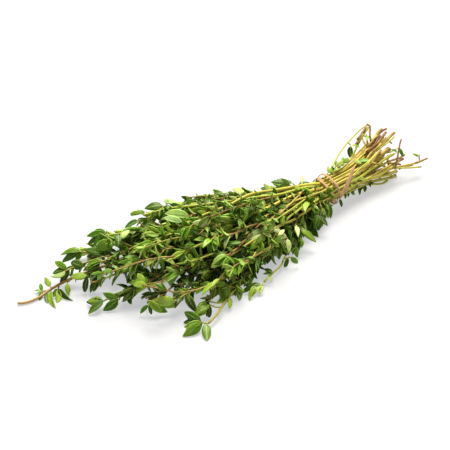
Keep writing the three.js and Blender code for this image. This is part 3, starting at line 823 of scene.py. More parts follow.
def surface(shader, colour, height, strength, distance):
    """Gives a shader its colour and its relief."""
    bumps = nodes.new("ShaderNodeBump")
    put(strength, bumps.inputs["Strength"])
    put(distance, bumps.inputs["Distance"])
    put(height, bumps.inputs["Height"])
    put(bumps.outputs["Normal"], shader.inputs["Normal"])
    put(colour, shader.inputs["Base Color"])


# Bark, by its age: brown at the cut, yellow on past the tie, red-brown where the young wood ends, and
# paler at a bare tip. The lower a stem's tint is, the greener it is, and the higher, the more it has of
# the brown patches and streaks, which run along the bunch. The wood of the cut is pale.
STEM_COLOURS = [
    (0.00, (0.40, 0.24, 0.11)), (0.04, (0.66, 0.52, 0.14)), (0.16, (0.73, 0.62, 0.14)),
    (0.45, (0.62, 0.52, 0.15)), (0.70, (0.47, 0.38, 0.12)), (0.86, (0.40, 0.21, 0.10)),
    (1.00, (0.60, 0.37, 0.20)),
]
SAPPY = (0.50, 0.56, 0.10)
PATCH = (0.25, 0.12, 0.05)
CUT_WOOD = (0.62, 0.47, 0.26)
STREAKS_PER_METRE = (150, 900, 900)
PATCHES_BY_TINT = 0.4

stem_skin, nodes, links, skin = new_skin("thyme stem bark", roughness=0.55, specular=0.35)
hue = attribute("tint")
drawn_out = nodes.new("ShaderNodeMapping")
put(nodes.new("ShaderNodeTexCoord").outputs["Object"], drawn_out.inputs["Vector"])
drawn_out.inputs["Scale"].default_value = STREAKS_PER_METRE
streaks = speckled(drawn_out.outputs["Vector"], scale=1.0, detail=4.0)
bark = ramped(attribute("age"), STEM_COLOURS)
bark = mixed(ranged(hue, low=0.6, high=0.1, to_high=0.85), bark, SAPPY)
patches = worked("ADD", worked("MULTIPLY", hue, PATCHES_BY_TINT), streaks)
bark = mixed(ranged(patches, low=0.7, high=1.0), bark, PATCH)
surface(skin, mixed(attribute("cut"), bark, CUT_WOOD), streaks, strength=0.3, distance=0.0002)


def smooth_object(shape, name, material):
    """Puts a finished mesh in the scene."""
    mesh = bpy.data.meshes.new(name)
    shape.to_mesh(mesh)
    shape.free()
    mesh.polygons.foreach_set("use_smooth", [True] * len(mesh.polygons))
    mesh.materials.append(material)
    made = bpy.data.objects.new(name, mesh)
    bpy.context.scene.collection.objects.link(made)
    return made


def finish_piece(plant, name, node, material):
    """Turns a finished mesh in millimetres into a piece that stands for its CAD node."""
    bmesh.ops.scale(plant, vec=(MM, MM, MM), verts=plant.verts)
    piece = smooth_object(plant, name, material)
    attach(piece, "root")
    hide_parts(node)


def grow_evenly(plant, points, radii, ages, sides, tint):
    """A rod whose radius and age change evenly from its start to its end."""
    count = len(points)
    grow_rod(plant, points, between_all(*radii, count), sides, between_all(*ages, count), tint)


# A stem's taper from the cut on, the swellings where its leaves grew, the knots of the uppermost
# branches, and the worn edge of the cut.
TAPER = 1.3
SWELLING = 0.1
SWELLINGS_APART = 0.7
KNOTS = 0.12
KNOTS_APART = 0.9
CUT_EDGE = 0.08
CUT_EDGE_RADIUS = 0.9

# Ages are from 0 at the cut to 1 at a bare tip. Shoots and side stems differ in tint from their stem.
YOUNG_WOOD = 0.86
SHOOT_AGES = (0.5, YOUNG_WOOD)
SHOOT_TINT = 0.4
SHOOT_TIP_RADIUS = 0.3
SHOOT_SIDES = 5
SIDE_STEM_AGES = (0.2, 0.03)
SIDE_STEM_TINT = 0.6

# The stalks of the listed leaves. They sag a little, and the shortest are left out.
STALK_RADII = (0.4, 0.3)
STALK_AGES = (0.6, 0.8)
STALK_SIDES = 4
STALK_SAG = 0.08
LEAST_STALK = 0.5

for sprig in sprigs:
    plant = new_plant("age", "tint", "cut")
    run, number, tint = sprig["run"], sprig["number"], sprig["tint"]

    # The stem itself.
    lies_bare = number in LAST_BENDS
    tip_radius = BARE_TIP_RADIUS if lies_bare else TIP_RADIUS
    slim = 1 if lies_bare else THIN_STEMS.get(number, between(*GIRTHS, vary(number, 8)))
    points = run.points if lies_bare else run.points[:-TIP_HIDDEN]
    swell = [SWELLING * noise.noise(Vector((index * SWELLINGS_APART, number, 3.1)))
             for index in range(len(points))]
    radii = [(between(CUT_RADIUS, tip_radius, share ** TAPER) + more) * slim
             for share, more in zip(between_all(0, 1, len(points)), swell)]
    ages = between_all(0, 1 if lies_bare else GREEN_STEMS.get(number, YOUNG_WOOD), len(points))
    start = points[0].lerp(points[1], CUT_EDGE)
    grow_rod(plant, [points[0], start] + points[1:], [radii[0] * CUT_EDGE_RADIUS, radii[0]] + radii[1:],
             STEM_SIDES, [0, 0] + ages[1:], tint, cut_start=True)

    # Its fork, its side shoots and its side stem.
    for shoot in [sprig["fork"]] + sprig["shoots"]:
        thick = FORK_RADIUS if shoot is sprig["fork"] else SHOOT_RADIUS
        grow_evenly(plant, shoot.points, (thick, SHOOT_TIP_RADIUS), SHOOT_AGES, SHOOT_SIDES,
                    (tint + SHOOT_TINT) % 1)
    if sprig["row"] > 0:
        grow_evenly(plant, sprig["side_stem"].points, (SIDE_STEM_RADIUS, SIDE_STEM_RADIUS),
                    SIDE_STEM_AGES, SHOOT_SIDES, (tint + SIDE_STEM_TINT) % 1)

    # The uppermost branches, the leaves' stalks and the twigs that it bears, and its stub.
    for branch, thick, thin, old, young, _ in sprig["branches"]:
        spots = len(branch.points)
        knots = [noise.noise(Vector((index * KNOTS_APART, number, 7.7))) for index in range(spots)]
        radii = [radius * (1 + KNOTS * knot) for radius, knot in zip(between_all(thick, thin, spots), knots)]
        grow_rod(plant, branch.points, radii, STEM_SIDES, between_all(old, young, spots), (tint + thick) % 1)
    for start, end in sprig["stalks"]:
        if (end - start).length > LEAST_STALK:
            bend = start.lerp(end, 0.5) + Vector((0, 0, -STALK_SAG)) * (end - start).length
            grow_evenly(plant, [start, bend, end], STALK_RADII, STALK_AGES, STALK_SIDES, tint)
    for bearer, thick, thin, old, hue, way in TWIGS:
        if bearer == number:
            twig = Run(through([from_tie(*corner) for corner in way])).points
            grow_evenly(plant, twig, (thick, thin), (old, old), SHOOT_SIDES, hue)
    stub_base, heading = run.at(between(*STUB_AT, vary(number, 6)))
    out = growth_way(-heading, vary(number, 7) * 2 * math.pi, STUB_SLANT)
    way = clear_of_table(out, stub_base, STUB_LENGTH, STUB_RADIUS)
    stub = [stub_base, stub_base + way * STUB_LENGTH * 0.5, stub_base + way * STUB_LENGTH]
    grow_rod(plant, stub, [STUB_RADIUS * girth for girth in STUB_GIRTHS], SHOOT_SIDES, STUB_AGES, tint)
    bmesh.ops.recalc_face_normals(plant, faces=plant.faces)
    name = f"sprig_{number + 1:02d}"
    finish_piece(plant, f"{name}_stem", name, stem_skin)


# ---- The leaves ----
# Small leathery blades on short stalks, in opposite pairs with tufts of younger leaves in their axils.
# They have a sunk midrib, edges rolled a little under, and a paler face below.

# The full length of a leaf and the least, largest and likeliest share of it; how pairs are spaced; how
# far leaves lean out; and the stretch that the tuft at a tip takes up.
LEAF_LENGTH = 9.4
LENGTHS = (0.4, 1.1, 0.8)
PAIR_PITCH = 7.8
PITCH_VARIES = (0.6, 1.4)
LEAF_SLANT = 0.75
SLANT_VARIES = (0.6, 1.4)
TUFT_SPACE = 9

# How the two leaves of a pair differ from straight across and from each other.
PAIR_TURNS = 0.3
PAIR_LENGTHS = (0.88, 1.12)
PAIR_AGES = (0.6, 1.0)

# How often a leaf has younger ones in its axil, how far they turn to each side, how far they lean out
# and how long they are, both as shares of its own.
AXIL_LEAVES = 0.8
AXIL_TURNS = (-0.8, 0.7)
AXIL_SLANT = 0.7
AXIL_LENGTHS = (0.3, 0.7)
AXIL_AGE = 0.6

# The leaves that stay at the nodes of a bare stretch: how many, how far they lean out, how long and how
# old they are, how far apart the nodes are, and how strictly they are kept off what is listed.
NODE_LEAVES = (2, 3, 4)
NODE_SLANTS = (0.4, 1.1)
NODE_LENGTHS = (4.0, 8.0)
NODE_AGES = (0.3, 0.9)
NODE_PITCH = (4, 7.5)
NODE_CLEARNESS = 0.6

# The low stems that bear leaves twice over: the second set starts and turns so far from the first, and
# ends so far from the tip.
THICKLY_DRESSED = (0, 1, 2, 3, 5, 6, 7, 8)
THICK_START = 12
THICK_TURN = 0.8
THICK_TIP = 24

# The tuft at a shoot's tip: how far each pair is from the end, its size, its slant and its age.
TUFT = [(9.5, 1.05, 0.75, 0.9), (7.0, 1.15, 0.45, 0.8), (5.4, 1.05, 0.28, 0.6), (4.4, 0.65, 0.15, 0.3)]

# Breadth as a share of length, the fold along the midrib, the curl down towards the point, the twist.
# The first, third and fourth forms are drawn twice as often as each of the others.
LEAF_FORMS = [
    (0.44, 0.28, 0.35, 0.0),
    (0.48, 0.30, 0.60, 0.15),
    (0.31, 0.50, 0.75, -0.3),
    (0.38, 0.60, 0.15, 0.2),
    (0.34, 0.45, 1.15, 0.1),
    (0.44, 0.40, -0.35, -0.15),
    (0.26, 0.70, 0.45, 0.5),
]
COMMON_FORMS = [0, 0, 1, 2, 2, 3, 3, 4, 5, 6]

# What every form has, as shares of its length or breadth: the stalk, how full the blade is, its
# thickness, how far its edges roll under, and the sunk midrib. Its points hold these values.
STALK_SHARE = 0.2
STALK_BREADTH = 0.07
FULLNESS = 0.85
EDGE_THICKNESS = 0.008
MORE_THICKNESS = 0.02
EDGE_ROLL = 0.5
RIB_BREADTH = 0.3
RIB_DEPTH = 0.012
LEAF_VALUES = ("age", "tint", "under", "across", "along")
POINTS_AROUND = 8
RINGS_ALONG = 7
AT_POLE = 1e-4


def leaf_form(breadth, fold, curl, twist):
    """A leaf of length 1 along +X with its upper face up: a ball drawn out and flattened to a blade."""
    blade = new_plant(*LEAF_VALUES)
    under, across, along = (blade.verts.layers.float[name] for name in ("under", "across", "along"))
    bmesh.ops.create_uvsphere(blade, u_segments=POINTS_AROUND, v_segments=RINGS_ALONG, radius=1.0)
    for vert in blade.verts:
        share = (1 - vert.co.z) / 2
        ring = math.hypot(vert.co.x, vert.co.y)
        side = vert.co.x / ring if ring > AT_POLE else 0.0
        lift = vert.co.y / ring if ring > AT_POLE else 0.0
        stalk = min(share / STALK_SHARE, 1.0)
        stalk = stalk * stalk * (3 - 2 * stalk)
        half = breadth / 2 * (STALK_BREADTH + (1 - STALK_BREADTH) * stalk)
        half *= max(math.sin(math.pi * share ** FULLNESS), 0) ** FULLNESS
        thick = EDGE_THICKNESS + MORE_THICKNESS * math.sin(math.pi * share)
        rise = fold * half * abs(side) * 2 - half * EDGE_ROLL * side ** 4
        if abs(side) < RIB_BREADTH:
            rise -= RIB_DEPTH * stalk
        turn = twist * share
        y = side * half * math.cos(turn) - (rise + thick * lift) * math.sin(turn)
        z = side * half * math.sin(turn) + (rise + thick * lift) * math.cos(turn)
        bend = curl * share
        x = math.sin(bend) / curl + z * math.sin(bend)
        vert.co = (x, y, (math.cos(bend) - 1) / curl + z * math.cos(bend))
        vert[under] = (1 - lift) / 2
        vert[across] = side
        vert[along] = share
    bmesh.ops.recalc_face_normals(blade, faces=blade.faces)
    mesh = bpy.data.meshes.new("leaf form")
    blade.to_mesh(mesh)
    blade.free()
    return mesh


leaf_forms = [leaf_form(*form) for form in LEAF_FORMS]
high_corner = Vector(cad_box[1]) / MM

# How far under the top of the CAD's box and past its sides a leaf's tip may reach, and how far past the
# bunch's near edge.
TIP_HEADROOM = 1.5
PAST_SIDES = 1
PAST_NEAR_EDGE = 2

# The far edge is ragged: tips stop at random between so far inside it and a little past it. It is more
# ragged over the top, up to here from the tie, than at the leafy end.
TOP_END = -80
RAGGED_TOP = -15
RAGGED_END = -4
PAST_FAR_EDGE = 1

# The topmost stems lie bare from the tie to here, and few leaves stand over this height beside them.
BARE_TOP = -54
BARE_TOP_HEIGHT = 17.5
BARE_TOP_LEAVES = 0.5

# The bunch's far edge on the table, from the tie: how far across it starts, how it spreads and its end.
FAR_START = 11
FAR_SPREAD = 0.3
FAR_END = 46

# How deep a leaf has to lie inside to get the most painted shade, from the sides and from the top.
DEEP_ACROSS = 12
DEEP_DOWN = 13
TOP_HEIGHT = 20

# A leaf's tint is drawn at random between the least that its place allows and 1, the palest. The least
# rises towards the bunch's edges and towards its tips, from here past the tie and over so much more of
# the way, as painted light on the outer leaves, and falls towards the table, as painted shade. Deep
# inside, what is drawn is darkened as well, as painted shade.
LEAST_TINT = 0.1
EDGE_PAINTED_LIGHT = 0.65
TIPS_PAINTED_LIGHT = 0.7
TIPS_FROM = -76
TIPS_WHOLLY = 40
LEAST_UP_TO = 0.8
LOW_HEIGHT = 12
PAINTED_LOW_SHADE = 0.5
PAINTED_DEEP_SHADE = 0.92

# How a leaf stands: how far it rises or hangs, its room over the table, and where its face looks, which
# is partly along the stem, partly up and partly at random.
HANGS = (-0.1, 0.2)
LEAF_ROOM = 0.2
FACE_ALONG = 0.8
FACE_UP = 0.25
FACE_STRAYS = 0.65
BREADTHS_VARY = (0.85, 1.15)

# Leaves lower than this are pressed up, so that none of them goes into the table.
TABLE_EASE = 1.4

# The shares of a leaf's length at which it must not hide what is listed.
HIDING_SHARES = (0.8, 0.35)


def has_room(tip, dice, strays):
    """Whether a leaf's tip is inside the bunch's outline, and not over the bare stems."""
    too_far = abs(tip.x) > high_corner.x + PAST_SIDES or abs(tip.y) > high_corner.y + PAST_SIDES
    if tip.z > high_corner.z - TIP_HEADROOM or too_far:
        return False
    past_near, past_far = outside(tip)
    if not strays and past_near > dice.uniform(0, PAST_NEAR_EDGE):
        return False
    if past_far > dice.uniform(RAGGED_TOP if tip.x - TIE.x > TOP_END else RAGGED_END, PAST_FAR_EDGE):
        return False
    return tip.x - TIE.x < BARE_TOP or tip.z < BARE_TOP_HEIGHT or dice.random() < BARE_TOP_LEAVES


def depth_inside(spot):
    """How deep a spot lies inside the bunch, from its sides alone and from its sides and top: 0 to 1."""
    x, y = spot.x - TIE.x, spot.y - TIE.y
    far = min(FAR_START - FAR_SPREAD * x, FAR_END)
    across = min(max(min(y - edge_at(NEAR_EDGE, x), far - y) / DEEP_ACROSS, 0), 1)
    return across, across * min(max((TOP_HEIGHT - spot.z) / DEEP_DOWN, 0), 1)


def set_leaf(plant, dice, form, base, way, face, length, age_value, tint):
    """Sets one leaf form on a stem, its upper face the given way, and eases what is low off the table."""
    face = (face - way * face.dot(way)).normalized()
    side = face.cross(way)
    stand = Matrix((way, side, face)).transposed().to_4x4()
    before = len(plant.verts)
    blade = form.copy()
    broad = length * dice.uniform(*BREADTHS_VARY)
    blade.transform(Matrix.Translation(base) @ stand @ Matrix.Diagonal((length, broad, broad, 1)))
    plant.from_mesh(blade)
    bpy.data.meshes.remove(blade)
    plant.verts.ensure_lookup_table()
    age, hue = plant.verts.layers.float["age"], plant.verts.layers.float["tint"]
    for vert in plant.verts[before:]:
        vert[age], vert[hue] = age_value, tint
        if vert.co.z < TABLE_EASE:
            vert.co.z = TABLE_EASE * math.exp(vert.co.z / TABLE_EASE - 1)


def place_leaf(plant, dice, base, heading, turn, slant, length, age_value, strays, clearness=1.0):
    """Grows one leaf from a stem, hanging a little and kept inside the bunch's outline."""
    way = growth_way(heading, turn, slant)
    way = (way - Vector((0, 0, dice.uniform(*HANGS)))).normalized()
    way = clear_of_table(way, base, length, LEAF_ROOM)
    if not has_room(base + way * length, dice, strays):
        return
    hides = max(in_front(base + way * length * share) for share in HIDING_SHARES)
    if dice.random() < hides * clearness:
        return
    face = heading * FACE_ALONG + Vector((0, 0, FACE_UP)) + noise.random_unit_vector() * FACE_STRAYS
    form = leaf_forms[dice.choice(COMMON_FORMS)]
    # Painted light and shade: the tint is darkened deep inside and low down, and lifted towards the edges
    # and tips.
    across, deep = depth_inside(base)
    past = min(max((TIPS_FROM - (base.x - TIE.x)) / TIPS_WHOLLY, 0), 1)
    least_with_painted_light = LEAST_TINT + EDGE_PAINTED_LIGHT * (1 - across) + TIPS_PAINTED_LIGHT * past
    least_with_painted_light *= between(1, 1 - PAINTED_LOW_SHADE, max(1 - base.z / LOW_HEIGHT, 0))
    tint = between(min(least_with_painted_light, LEAST_UP_TO), 1, dice.random()) * (1 - PAINTED_DEEP_SHADE * deep)
    set_leaf(plant, dice, form, base, way, face, length, age_value, tint)


def dress(plant, dice, run, first_at, pitch, size, turn, bare_tip=0, bare=(0, 0), strays=False):
    """Leaf pairs along a run, with young ones in their axils, closing up into a tuft at its tip."""
    spots = []
    at = first_at
    while at < run.length - max(bare_tip, TUFT_SPACE):
        if not bare[0] < at < bare[1]:
            spots.append((at, 1.0, LEAF_SLANT, 1.0))
        at += pitch * dice.uniform(*PITCH_VARIES)
    if not bare_tip:
        spots += [(run.length - left, *looks) for left, *looks in TUFT]
    for number, (at, share, slant, age_value) in enumerate(spots):
        base, heading = run.at(at)
        length = LEAF_LENGTH * size * share * dice.triangular(*LENGTHS)
        for half in (0, math.pi):
            away = turn + number * math.pi / 2 + half + dice.uniform(-PAIR_TURNS, PAIR_TURNS)
            lean = slant * dice.uniform(*SLANT_VARIES)
            place_leaf(plant, dice, base, heading, away, lean, length * dice.uniform(*PAIR_LENGTHS),
                       age_value * dice.uniform(*PAIR_AGES), strays)
            if dice.random() < AXIL_LEAVES and share == 1.0:
                for sideways in AXIL_TURNS:
                    place_leaf(plant, dice, base, heading, away + sideways, lean * AXIL_SLANT,
                               length * dice.uniform(*AXIL_LENGTHS), age_value * AXIL_AGE, strays)


def dress_nodes(plant, dice, run, first_at, last_at):
    """The few small leaves that stay at the nodes of a bare stretch."""
    at = first_at
    while at < last_at:
        base, heading = run.at(at)
        for _ in range(dice.choice(NODE_LEAVES)):
            place_leaf(plant, dice, base, heading, dice.uniform(0, 2 * math.pi), dice.uniform(*NODE_SLANTS),
                       dice.uniform(*NODE_LENGTHS), dice.uniform(*NODE_AGES), True, NODE_CLEARNESS)
        at += dice.uniform(*NODE_PITCH)


# Each leaf's green, by its tint, from the darkest to the few that are nearly yellow. The darkest end is
# painted shade deep in the bunch, and the palest end is partly painted light and sheen on lit leaves.
# Young leaves are a fresher green. Veins and midrib are paler; the rim is paler as its own rolled edge
# and as a painted highlight, and the face below is paler of its own and more so as painted light. The
# upper face is mottled with a duller green, and whole clumps of leaves are cooler.
LEAF_GREENS_AND_PAINTED_LIGHT = [
    (0.00, (0.007, 0.019, 0.001)), (0.25, (0.045, 0.10, 0.004)), (0.50, (0.155, 0.265, 0.016)),
    (0.75, (0.36, 0.48, 0.055)), (0.92, (0.59, 0.68, 0.20)), (1.00, (0.76, 0.82, 0.42)),
]
YOUNG = (0.34, 0.46, 0.04)
RIB_AND_RIM_HIGHLIGHT = (0.44, 0.54, 0.14)
BELOW_WITH_PAINTED_LIGHT = (0.56, 0.65, 0.27)
MOTTLE = (0.06, 0.15, 0.010)
COOLER = (0.62, 0.97, 0.72)

VEINS_ALONG = 2.2
VEINS_WAVER = 0.6
VEINS_SLANT = 0.18
VEINS_SHARE = 0.12
VEINS_RELIEF = 0.35

leaf_skin, nodes, links, skin = new_skin("thyme leaf", roughness=0.36, specular=0.33)
skin.inputs["Subsurface Weight"].default_value = 0.3
skin.inputs["Subsurface Radius"].default_value = (0.6, 1.0, 0.2)
skin.inputs["Subsurface Scale"].default_value = 0.0008
off_centre = worked("ABSOLUTE", attribute("across"))
veins = nodes.new("ShaderNodeTexWave")
veins.wave_type = "BANDS"
veins.bands_direction = "X"
put(VEINS_ALONG, veins.inputs["Scale"])
put(VEINS_WAVER, veins.inputs["Distortion"])
slanted = nodes.new("ShaderNodeCombineXYZ")
put(worked("SUBTRACT", attribute("along"), worked("MULTIPLY", off_centre, VEINS_SLANT)), slanted.inputs["X"])
put(slanted.outputs["Vector"], veins.inputs["Vector"])
place = nodes.new("ShaderNodeTexCoord").outputs["Object"]
mottle = speckled(place, scale=420.0, detail=3.0)
clumps = speckled(place, scale=110.0, detail=1.0)
# The tint holds painted light and shade as well as the leaf's own green.
green = ramped(attribute("tint"), LEAF_GREENS_AND_PAINTED_LIGHT)
green = mixed(ranged(attribute("age"), low=0.1, high=0.7, to_low=0.7, to_high=0.0), green, YOUNG)
green = mixed(worked("MULTIPLY", veins.outputs["Fac"], VEINS_SHARE), green, RIB_AND_RIM_HIGHLIGHT)
green = mixed(ranged(off_centre, low=0.16, high=0.02, to_high=0.75), green, RIB_AND_RIM_HIGHLIGHT)
# The rim: partly its own paler rolled edge, partly a painted highlight.
green = mixed(ranged(off_centre, low=0.78, high=1.0, to_high=0.5), green, RIB_AND_RIM_HIGHLIGHT)
# The face below: paler of its own, and lifted further as painted light.
green = mixed(ranged(attribute("under"), low=0.45, high=0.75, to_high=0.5), green, BELOW_WITH_PAINTED_LIGHT)
green = mixed(ranged(mottle, low=0.35, high=0.75, to_high=0.2), green, MOTTLE)
green = mixed(ranged(clumps, low=0.48, high=0.62, to_high=0.5), green, COOLER, "MULTIPLY")
relief = worked("ADD", worked("MULTIPLY", veins.outputs["Fac"], VEINS_RELIEF), mottle)
surface(skin, green, relief, strength=0.22, distance=0.00025)

lone_leaves = {sprig["number"]: [] for sprig in sprigs}
for base, tip, form, tint in LONE_LEAVES:
    lone_leaves[leaf_bearers[base]].append((from_tie(*base), from_tie(*tip), form, tint))

# What grows on forks, on side shoots and on the uppermost branches: where the first leaves are, how
# closely the pairs follow one another and how large they are.
SPRIG_SIZES = (0.9, 1.1)
FIRST_ON_FORK = (0.2, 0.5)
FIRST_ON_SHOOT = (2, 5)
SHOOT_PITCH = 0.7
SHOOT_SIZE = 0.84
BRANCH_PITCH = 0.8
BRANCH_SIZE = 0.7
FIRST_NODE_ON_BRANCH = 6
FIRST_NODE_PAST_TIE = 9
ANY_TURN = 3

# The listed leaves look up and towards where the bunch is seen from.
LONE_FACE = Vector((-0.38, -0.38, 0.8))
LONE_FACE_STRAYS = 0.4
LONE_AGE = 0.9

LEAF_SEED = 7

noise.seed_set(LEAF_SEED)
for sprig in sprigs:
    plant = new_plant(*LEAF_VALUES)
    run, number, dice, leafy_from = sprig["run"], sprig["number"], sprig["dice"], sprig["leafy_from"]
    size = between(*SPRIG_SIZES, vary(number, 3))
    turn = vary(number, 2) * math.pi
    dress(plant, dice, run, leafy_from, PAIR_PITCH, size, turn, sprig["bare_tip"], sprig["bare"],
          strays=True)
    if number in THICKLY_DRESSED:
        dress(plant, dice, run, leafy_from + THICK_START, PAIR_PITCH, size, turn + THICK_TURN, THICK_TIP,
              sprig["bare"])
    dress_nodes(plant, dice, run, sprig["waist_at"] - WAIST_TO_TIPS + FIRST_NODE_PAST_TIE, leafy_from)
    fork_from = sprig["fork"].length * dice.uniform(*FIRST_ON_FORK)
    dress(plant, dice, sprig["fork"], fork_from, PAIR_PITCH, size, dice.uniform(0, ANY_TURN))
    for shoot in sprig["shoots"]:
        dress(plant, dice, shoot, dice.uniform(*FIRST_ON_SHOOT), PAIR_PITCH * SHOOT_PITCH,
              size * SHOOT_SIZE, dice.uniform(0, ANY_TURN))
    for branch, *_, bare_share in sprig["branches"]:
        bare_length = branch.length * bare_share
        dress(plant, dice, branch, bare_length, PAIR_PITCH * BRANCH_PITCH, size * BRANCH_SIZE,
              dice.uniform(0, ANY_TURN))
        dress_nodes(plant, dice, branch, FIRST_NODE_ON_BRANCH, bare_length)
    for seat, tip, form, tint in lone_leaves[number]:
        face = LONE_FACE + noise.random_unit_vector() * LONE_FACE_STRAYS
        way = (tip - seat).normalized()
        set_leaf(plant, dice, leaf_forms[form], seat, way, face, (tip - seat).length, LONE_AGE, tint)
    name = f"sprig_{number + 1:02d}"
    finish_piece(plant, f"{name}_leaves", name, leaf_skin)


# ---- The raffia tie ----
# One flat strip of dry palm fibre, wound twice round the waist under its own tension and tucked, its
# turns crossing low on the near side and the loose end lying back up over the cut stems.
RAFFIA_SECTION = 10
RAFFIA_THICKNESS = 0.34

# How the strip's flat side looks away from the waist, which is wider than it is high, how it wavers
# from that, and how its thickness changes where it is creased.
WAIST_FLATNESS = 0.55
WAVER = 0.25
WAVER_PITCH = 0.23
CREASES = 0.5
CREASES_APART = 0.21

# The strip's middle line, from the tie, turn by turn, and its width at each point.
RAFFIA_ROUTE = [
    (-5.4, -6.2, -5.0, 1.3), (-6.6, -7.5, -3.6, 1.5), (-8.3, -7.8, 0.2, 1.8), (-9.2, -6.4, 3.6, 1.9),
    (-9.0, -3.2, 5.3, 1.9), (-8.0, 0.5, 5.9, 1.8), (-6.3, 4.2, 5.6, 1.7), (-5.0, 8.0, 0.6, 1.7),
    (-4.4, 5.6, -5.0, 1.7), (-4.2, 0.2, -5.6, 1.7), (-4.6, -4.9, -5.4, 1.6), (-5.6, -7.7, -2.8, 1.4),
    (-4.9, -8.1, 1.6, 1.5), (-4.7, -6.6, 4.6, 1.5), (-4.3, -3.8, 6.0, 1.6), (-2.8, 0.8, 6.4, 1.6),
    (-2.2, 5.6, 5.4, 1.7), (-2.0, 8.5, 0.2, 1.7), (-2.2, 5.8, -5.2, 1.6), (-2.8, 0.2, -5.8, 1.6),
    (-4.2, -5.2, -5.6, 1.4), (-5.6, -8.1, -3.4, 1.4), (-4.0, -8.9, -0.8, 1.7), (-0.5, -8.5, 2.4, 2.2),
    (3.4, -7.4, 5.2, 2.2), (7.2, -5.8, 7.3, 1.8), (10.6, -4.4, 8.7, 0.8),
]

way = through([Vector(spot[:3]) for spot in RAFFIA_ROUTE])
parts = BEND_SPOTS - 1
widths = [between(start[3], end[3], part / parts)
          for start, end in zip(RAFFIA_ROUTE, RAFFIA_ROUTE[1:]) for part in range(parts)]
route = list(zip(way, widths + [RAFFIA_ROUTE[-1][3]]))


def strip_seat(index):
    """Where the strip's section sits: its flat side faces away from the middle of the waist."""
    centre = route[index][0]
    onward = (route[min(index + 1, len(route) - 1)][0] - route[max(index - 1, 0)][0]).normalized()
    outward = Vector((0, centre.y * WAIST_FLATNESS, centre.z)).normalized()
    outward = (outward - onward * outward.dot(onward)).normalized()
    wave = WAVER * math.sin(index * WAVER_PITCH)
    outward = (outward + onward.cross(outward) * wave).normalized()
    turned = Matrix((onward.cross(outward), outward, onward)).transposed().to_4x4()
    return Matrix.Translation(centre) @ turned


raffia = new_plant("across", "along")
across, along = (raffia.verts.layers.float[name] for name in ("across", "along"))
first = strip_seat(0) @ Matrix.Diagonal((route[0][1] / 2, RAFFIA_THICKNESS / 2, 1, 1))
cap, rim = capped_ring(raffia, RAFFIA_SECTION, 1.0, first)
for vert in cap.verts:
    vert[across] = (first.inverted() @ vert.co).x
run_length = 0.0
for index in range(1, len(route)):
    cap = bmesh.ops.extrude_discrete_faces(raffia, faces=[cap])["faces"][0]
    crease = 1 + CREASES * noise.noise(Vector((index * CREASES_APART, 1.7, 0)))
    second = strip_seat(index) @ Matrix.Diagonal((route[index][1] / 2, RAFFIA_THICKNESS / 2 * crease, 1, 1))
    bmesh.ops.transform(raffia, matrix=second @ first.inverted(), verts=cap.verts)
    run_length += (route[index][0] - route[index - 1][0]).length
    for vert in cap.verts:
        vert[along] = run_length
    first = second
bmesh.ops.contextual_create(raffia, geom=rim)
bmesh.ops.translate(raffia, vec=TIE, verts=raffia.verts)
bmesh.ops.recalc_face_normals(raffia, faces=raffia.faces)

# Dry fibre, in two tans that run along the strip.
DARK_TAN = (0.38, 0.22, 0.11)
PALE_TAN = (0.78, 0.54, 0.33)
FIBRES_ACROSS = 9.0
FIBRES_ALONG = 0.22

raffia_skin, nodes, links, skin = new_skin("raffia", roughness=0.7, specular=0.3)
laid = nodes.new("ShaderNodeCombineXYZ")
put(worked("MULTIPLY", attribute("across"), FIBRES_ACROSS), laid.inputs["X"])
put(worked("MULTIPLY", attribute("along"), FIBRES_ALONG), laid.inputs["Y"])
fibres = speckled(laid.outputs["Vector"], scale=1.0, detail=4.0)
tan = mixed(ranged(fibres, low=0.3, high=0.7), DARK_TAN, PALE_TAN)
surface(skin, tan, fibres, strength=0.9, distance=0.0003)
finish_piece(raffia, "raffia_strip", "raffia_tie", raffia_skin)


# ---- The table, the light and the camera ----
# A plain white table under a soft overhead studio light, with the bunch lying from low on the left to
# high on the right. Far out, the table sweeps up into a wall all round, so it has no edge.
TABLE_RADIUS = 2.2
TABLE_SIDES = 96
SWEEP_RADIUS = 0.9
SWEEP_STEPS = 10
WALL_HEIGHT = 1.8

table_mesh = bmesh.new()
bmesh.ops.create_circle(table_mesh, cap_ends=True, segments=TABLE_SIDES, radius=TABLE_RADIUS)
bmesh.ops.recalc_face_normals(table_mesh, faces=table_mesh.faces)
profile = [(TABLE_RADIUS + SWEEP_RADIUS * math.sin(turn), SWEEP_RADIUS * (1 - math.cos(turn)))
           for turn in between_all(0, math.pi / 2, SWEEP_STEPS)]
profile.append((profile[-1][0], WALL_HEIGHT))
rim = list(table_mesh.edges)
for (reach, height), (wide, high) in zip(profile, profile[1:]):
    pushed = bmesh.ops.extrude_edge_only(table_mesh, edges=rim)["geom"]
    edge = [part for part in pushed if isinstance(part, bmesh.types.BMVert)]
    rim = [part for part in pushed if isinstance(part, bmesh.types.BMEdge)]
    bmesh.ops.scale(table_mesh, vec=(wide / reach, wide / reach, 1), verts=edge)
    bmesh.ops.translate(table_mesh, vec=(0, 0, high - height), verts=edge)

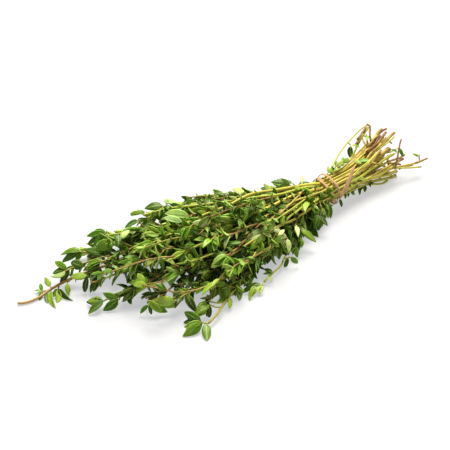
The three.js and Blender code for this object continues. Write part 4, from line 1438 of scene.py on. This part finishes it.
# The table gives off a little light of its own, so that it is white under the faint shadows.
TABLE_GREY = (0.28, 0.28, 0.28)
TABLE_GLOW = (0.96, 0.965, 1.0)
TABLE_GLOW_STRENGTH = 0.36

white, nodes, links, skin = new_skin("white table", roughness=0.8, specular=0.1)
put(TABLE_GREY, skin.inputs["Base Color"])
put(TABLE_GLOW, skin.inputs["Emission Color"])
put(TABLE_GLOW_STRENGTH, skin.inputs["Emission Strength"])
table = smooth_object(table_mesh, "table", white)

# Faint light from above the wall, and a large soft window high up behind the bunch.
WORLD_COLOUR = (1, 0.97, 0.92)
WORLD_STRENGTH = 0.17
WINDOW_COLOUR = (1, 0.97, 0.9)
WINDOW_PLACE = Vector((0.6, 0.5, 1.75))
WINDOW_SIZE = 1.4
WINDOW_POWER = 48

world = bpy.data.worlds.new("studio")
bpy.context.scene.world = world
world.use_nodes = True
put(WORLD_COLOUR, world.node_tree.nodes["Background"].inputs["Color"])
put(WORLD_STRENGTH, world.node_tree.nodes["Background"].inputs["Strength"])

lamp = bpy.data.lights.new("window", "AREA")
lamp.size = WINDOW_SIZE
lamp.energy = WINDOW_POWER
lamp.color = WINDOW_COLOUR
window = bpy.data.objects.new("window", lamp)
window.location = WINDOW_PLACE
window.rotation_euler = (-WINDOW_PLACE).to_track_quat("-Z", "Y").to_euler()
bpy.context.scene.collection.objects.link(window)

# A long lens that looks down on the bunch from where it is meant to be seen.
CAMERA_AIM = Vector((1.07, 16.12, 0)) * MM
CAMERA_AWAY = 0.5
LENS = 85
SENSOR_WIDTH = 36
EXPOSURE = 0.6
GAMMA = 0.8

camera_data = bpy.data.cameras.new("camera")
camera_data.lens = LENS
camera_data.sensor_width = SENSOR_WIDTH
camera = bpy.data.objects.new("camera", camera_data)
camera.location = CAMERA_AIM + SEEN_FROM * CAMERA_AWAY
camera.rotation_euler = (CAMERA_AIM - camera.location).to_track_quat("-Z", "Y").to_euler()
bpy.context.scene.collection.objects.link(camera)
bpy.context.scene.camera = camera
bpy.context.scene.view_settings.view_transform = "Standard"
bpy.context.scene.view_settings.exposure = EXPOSURE
bpy.context.scene.view_settings.gamma = GAMMA
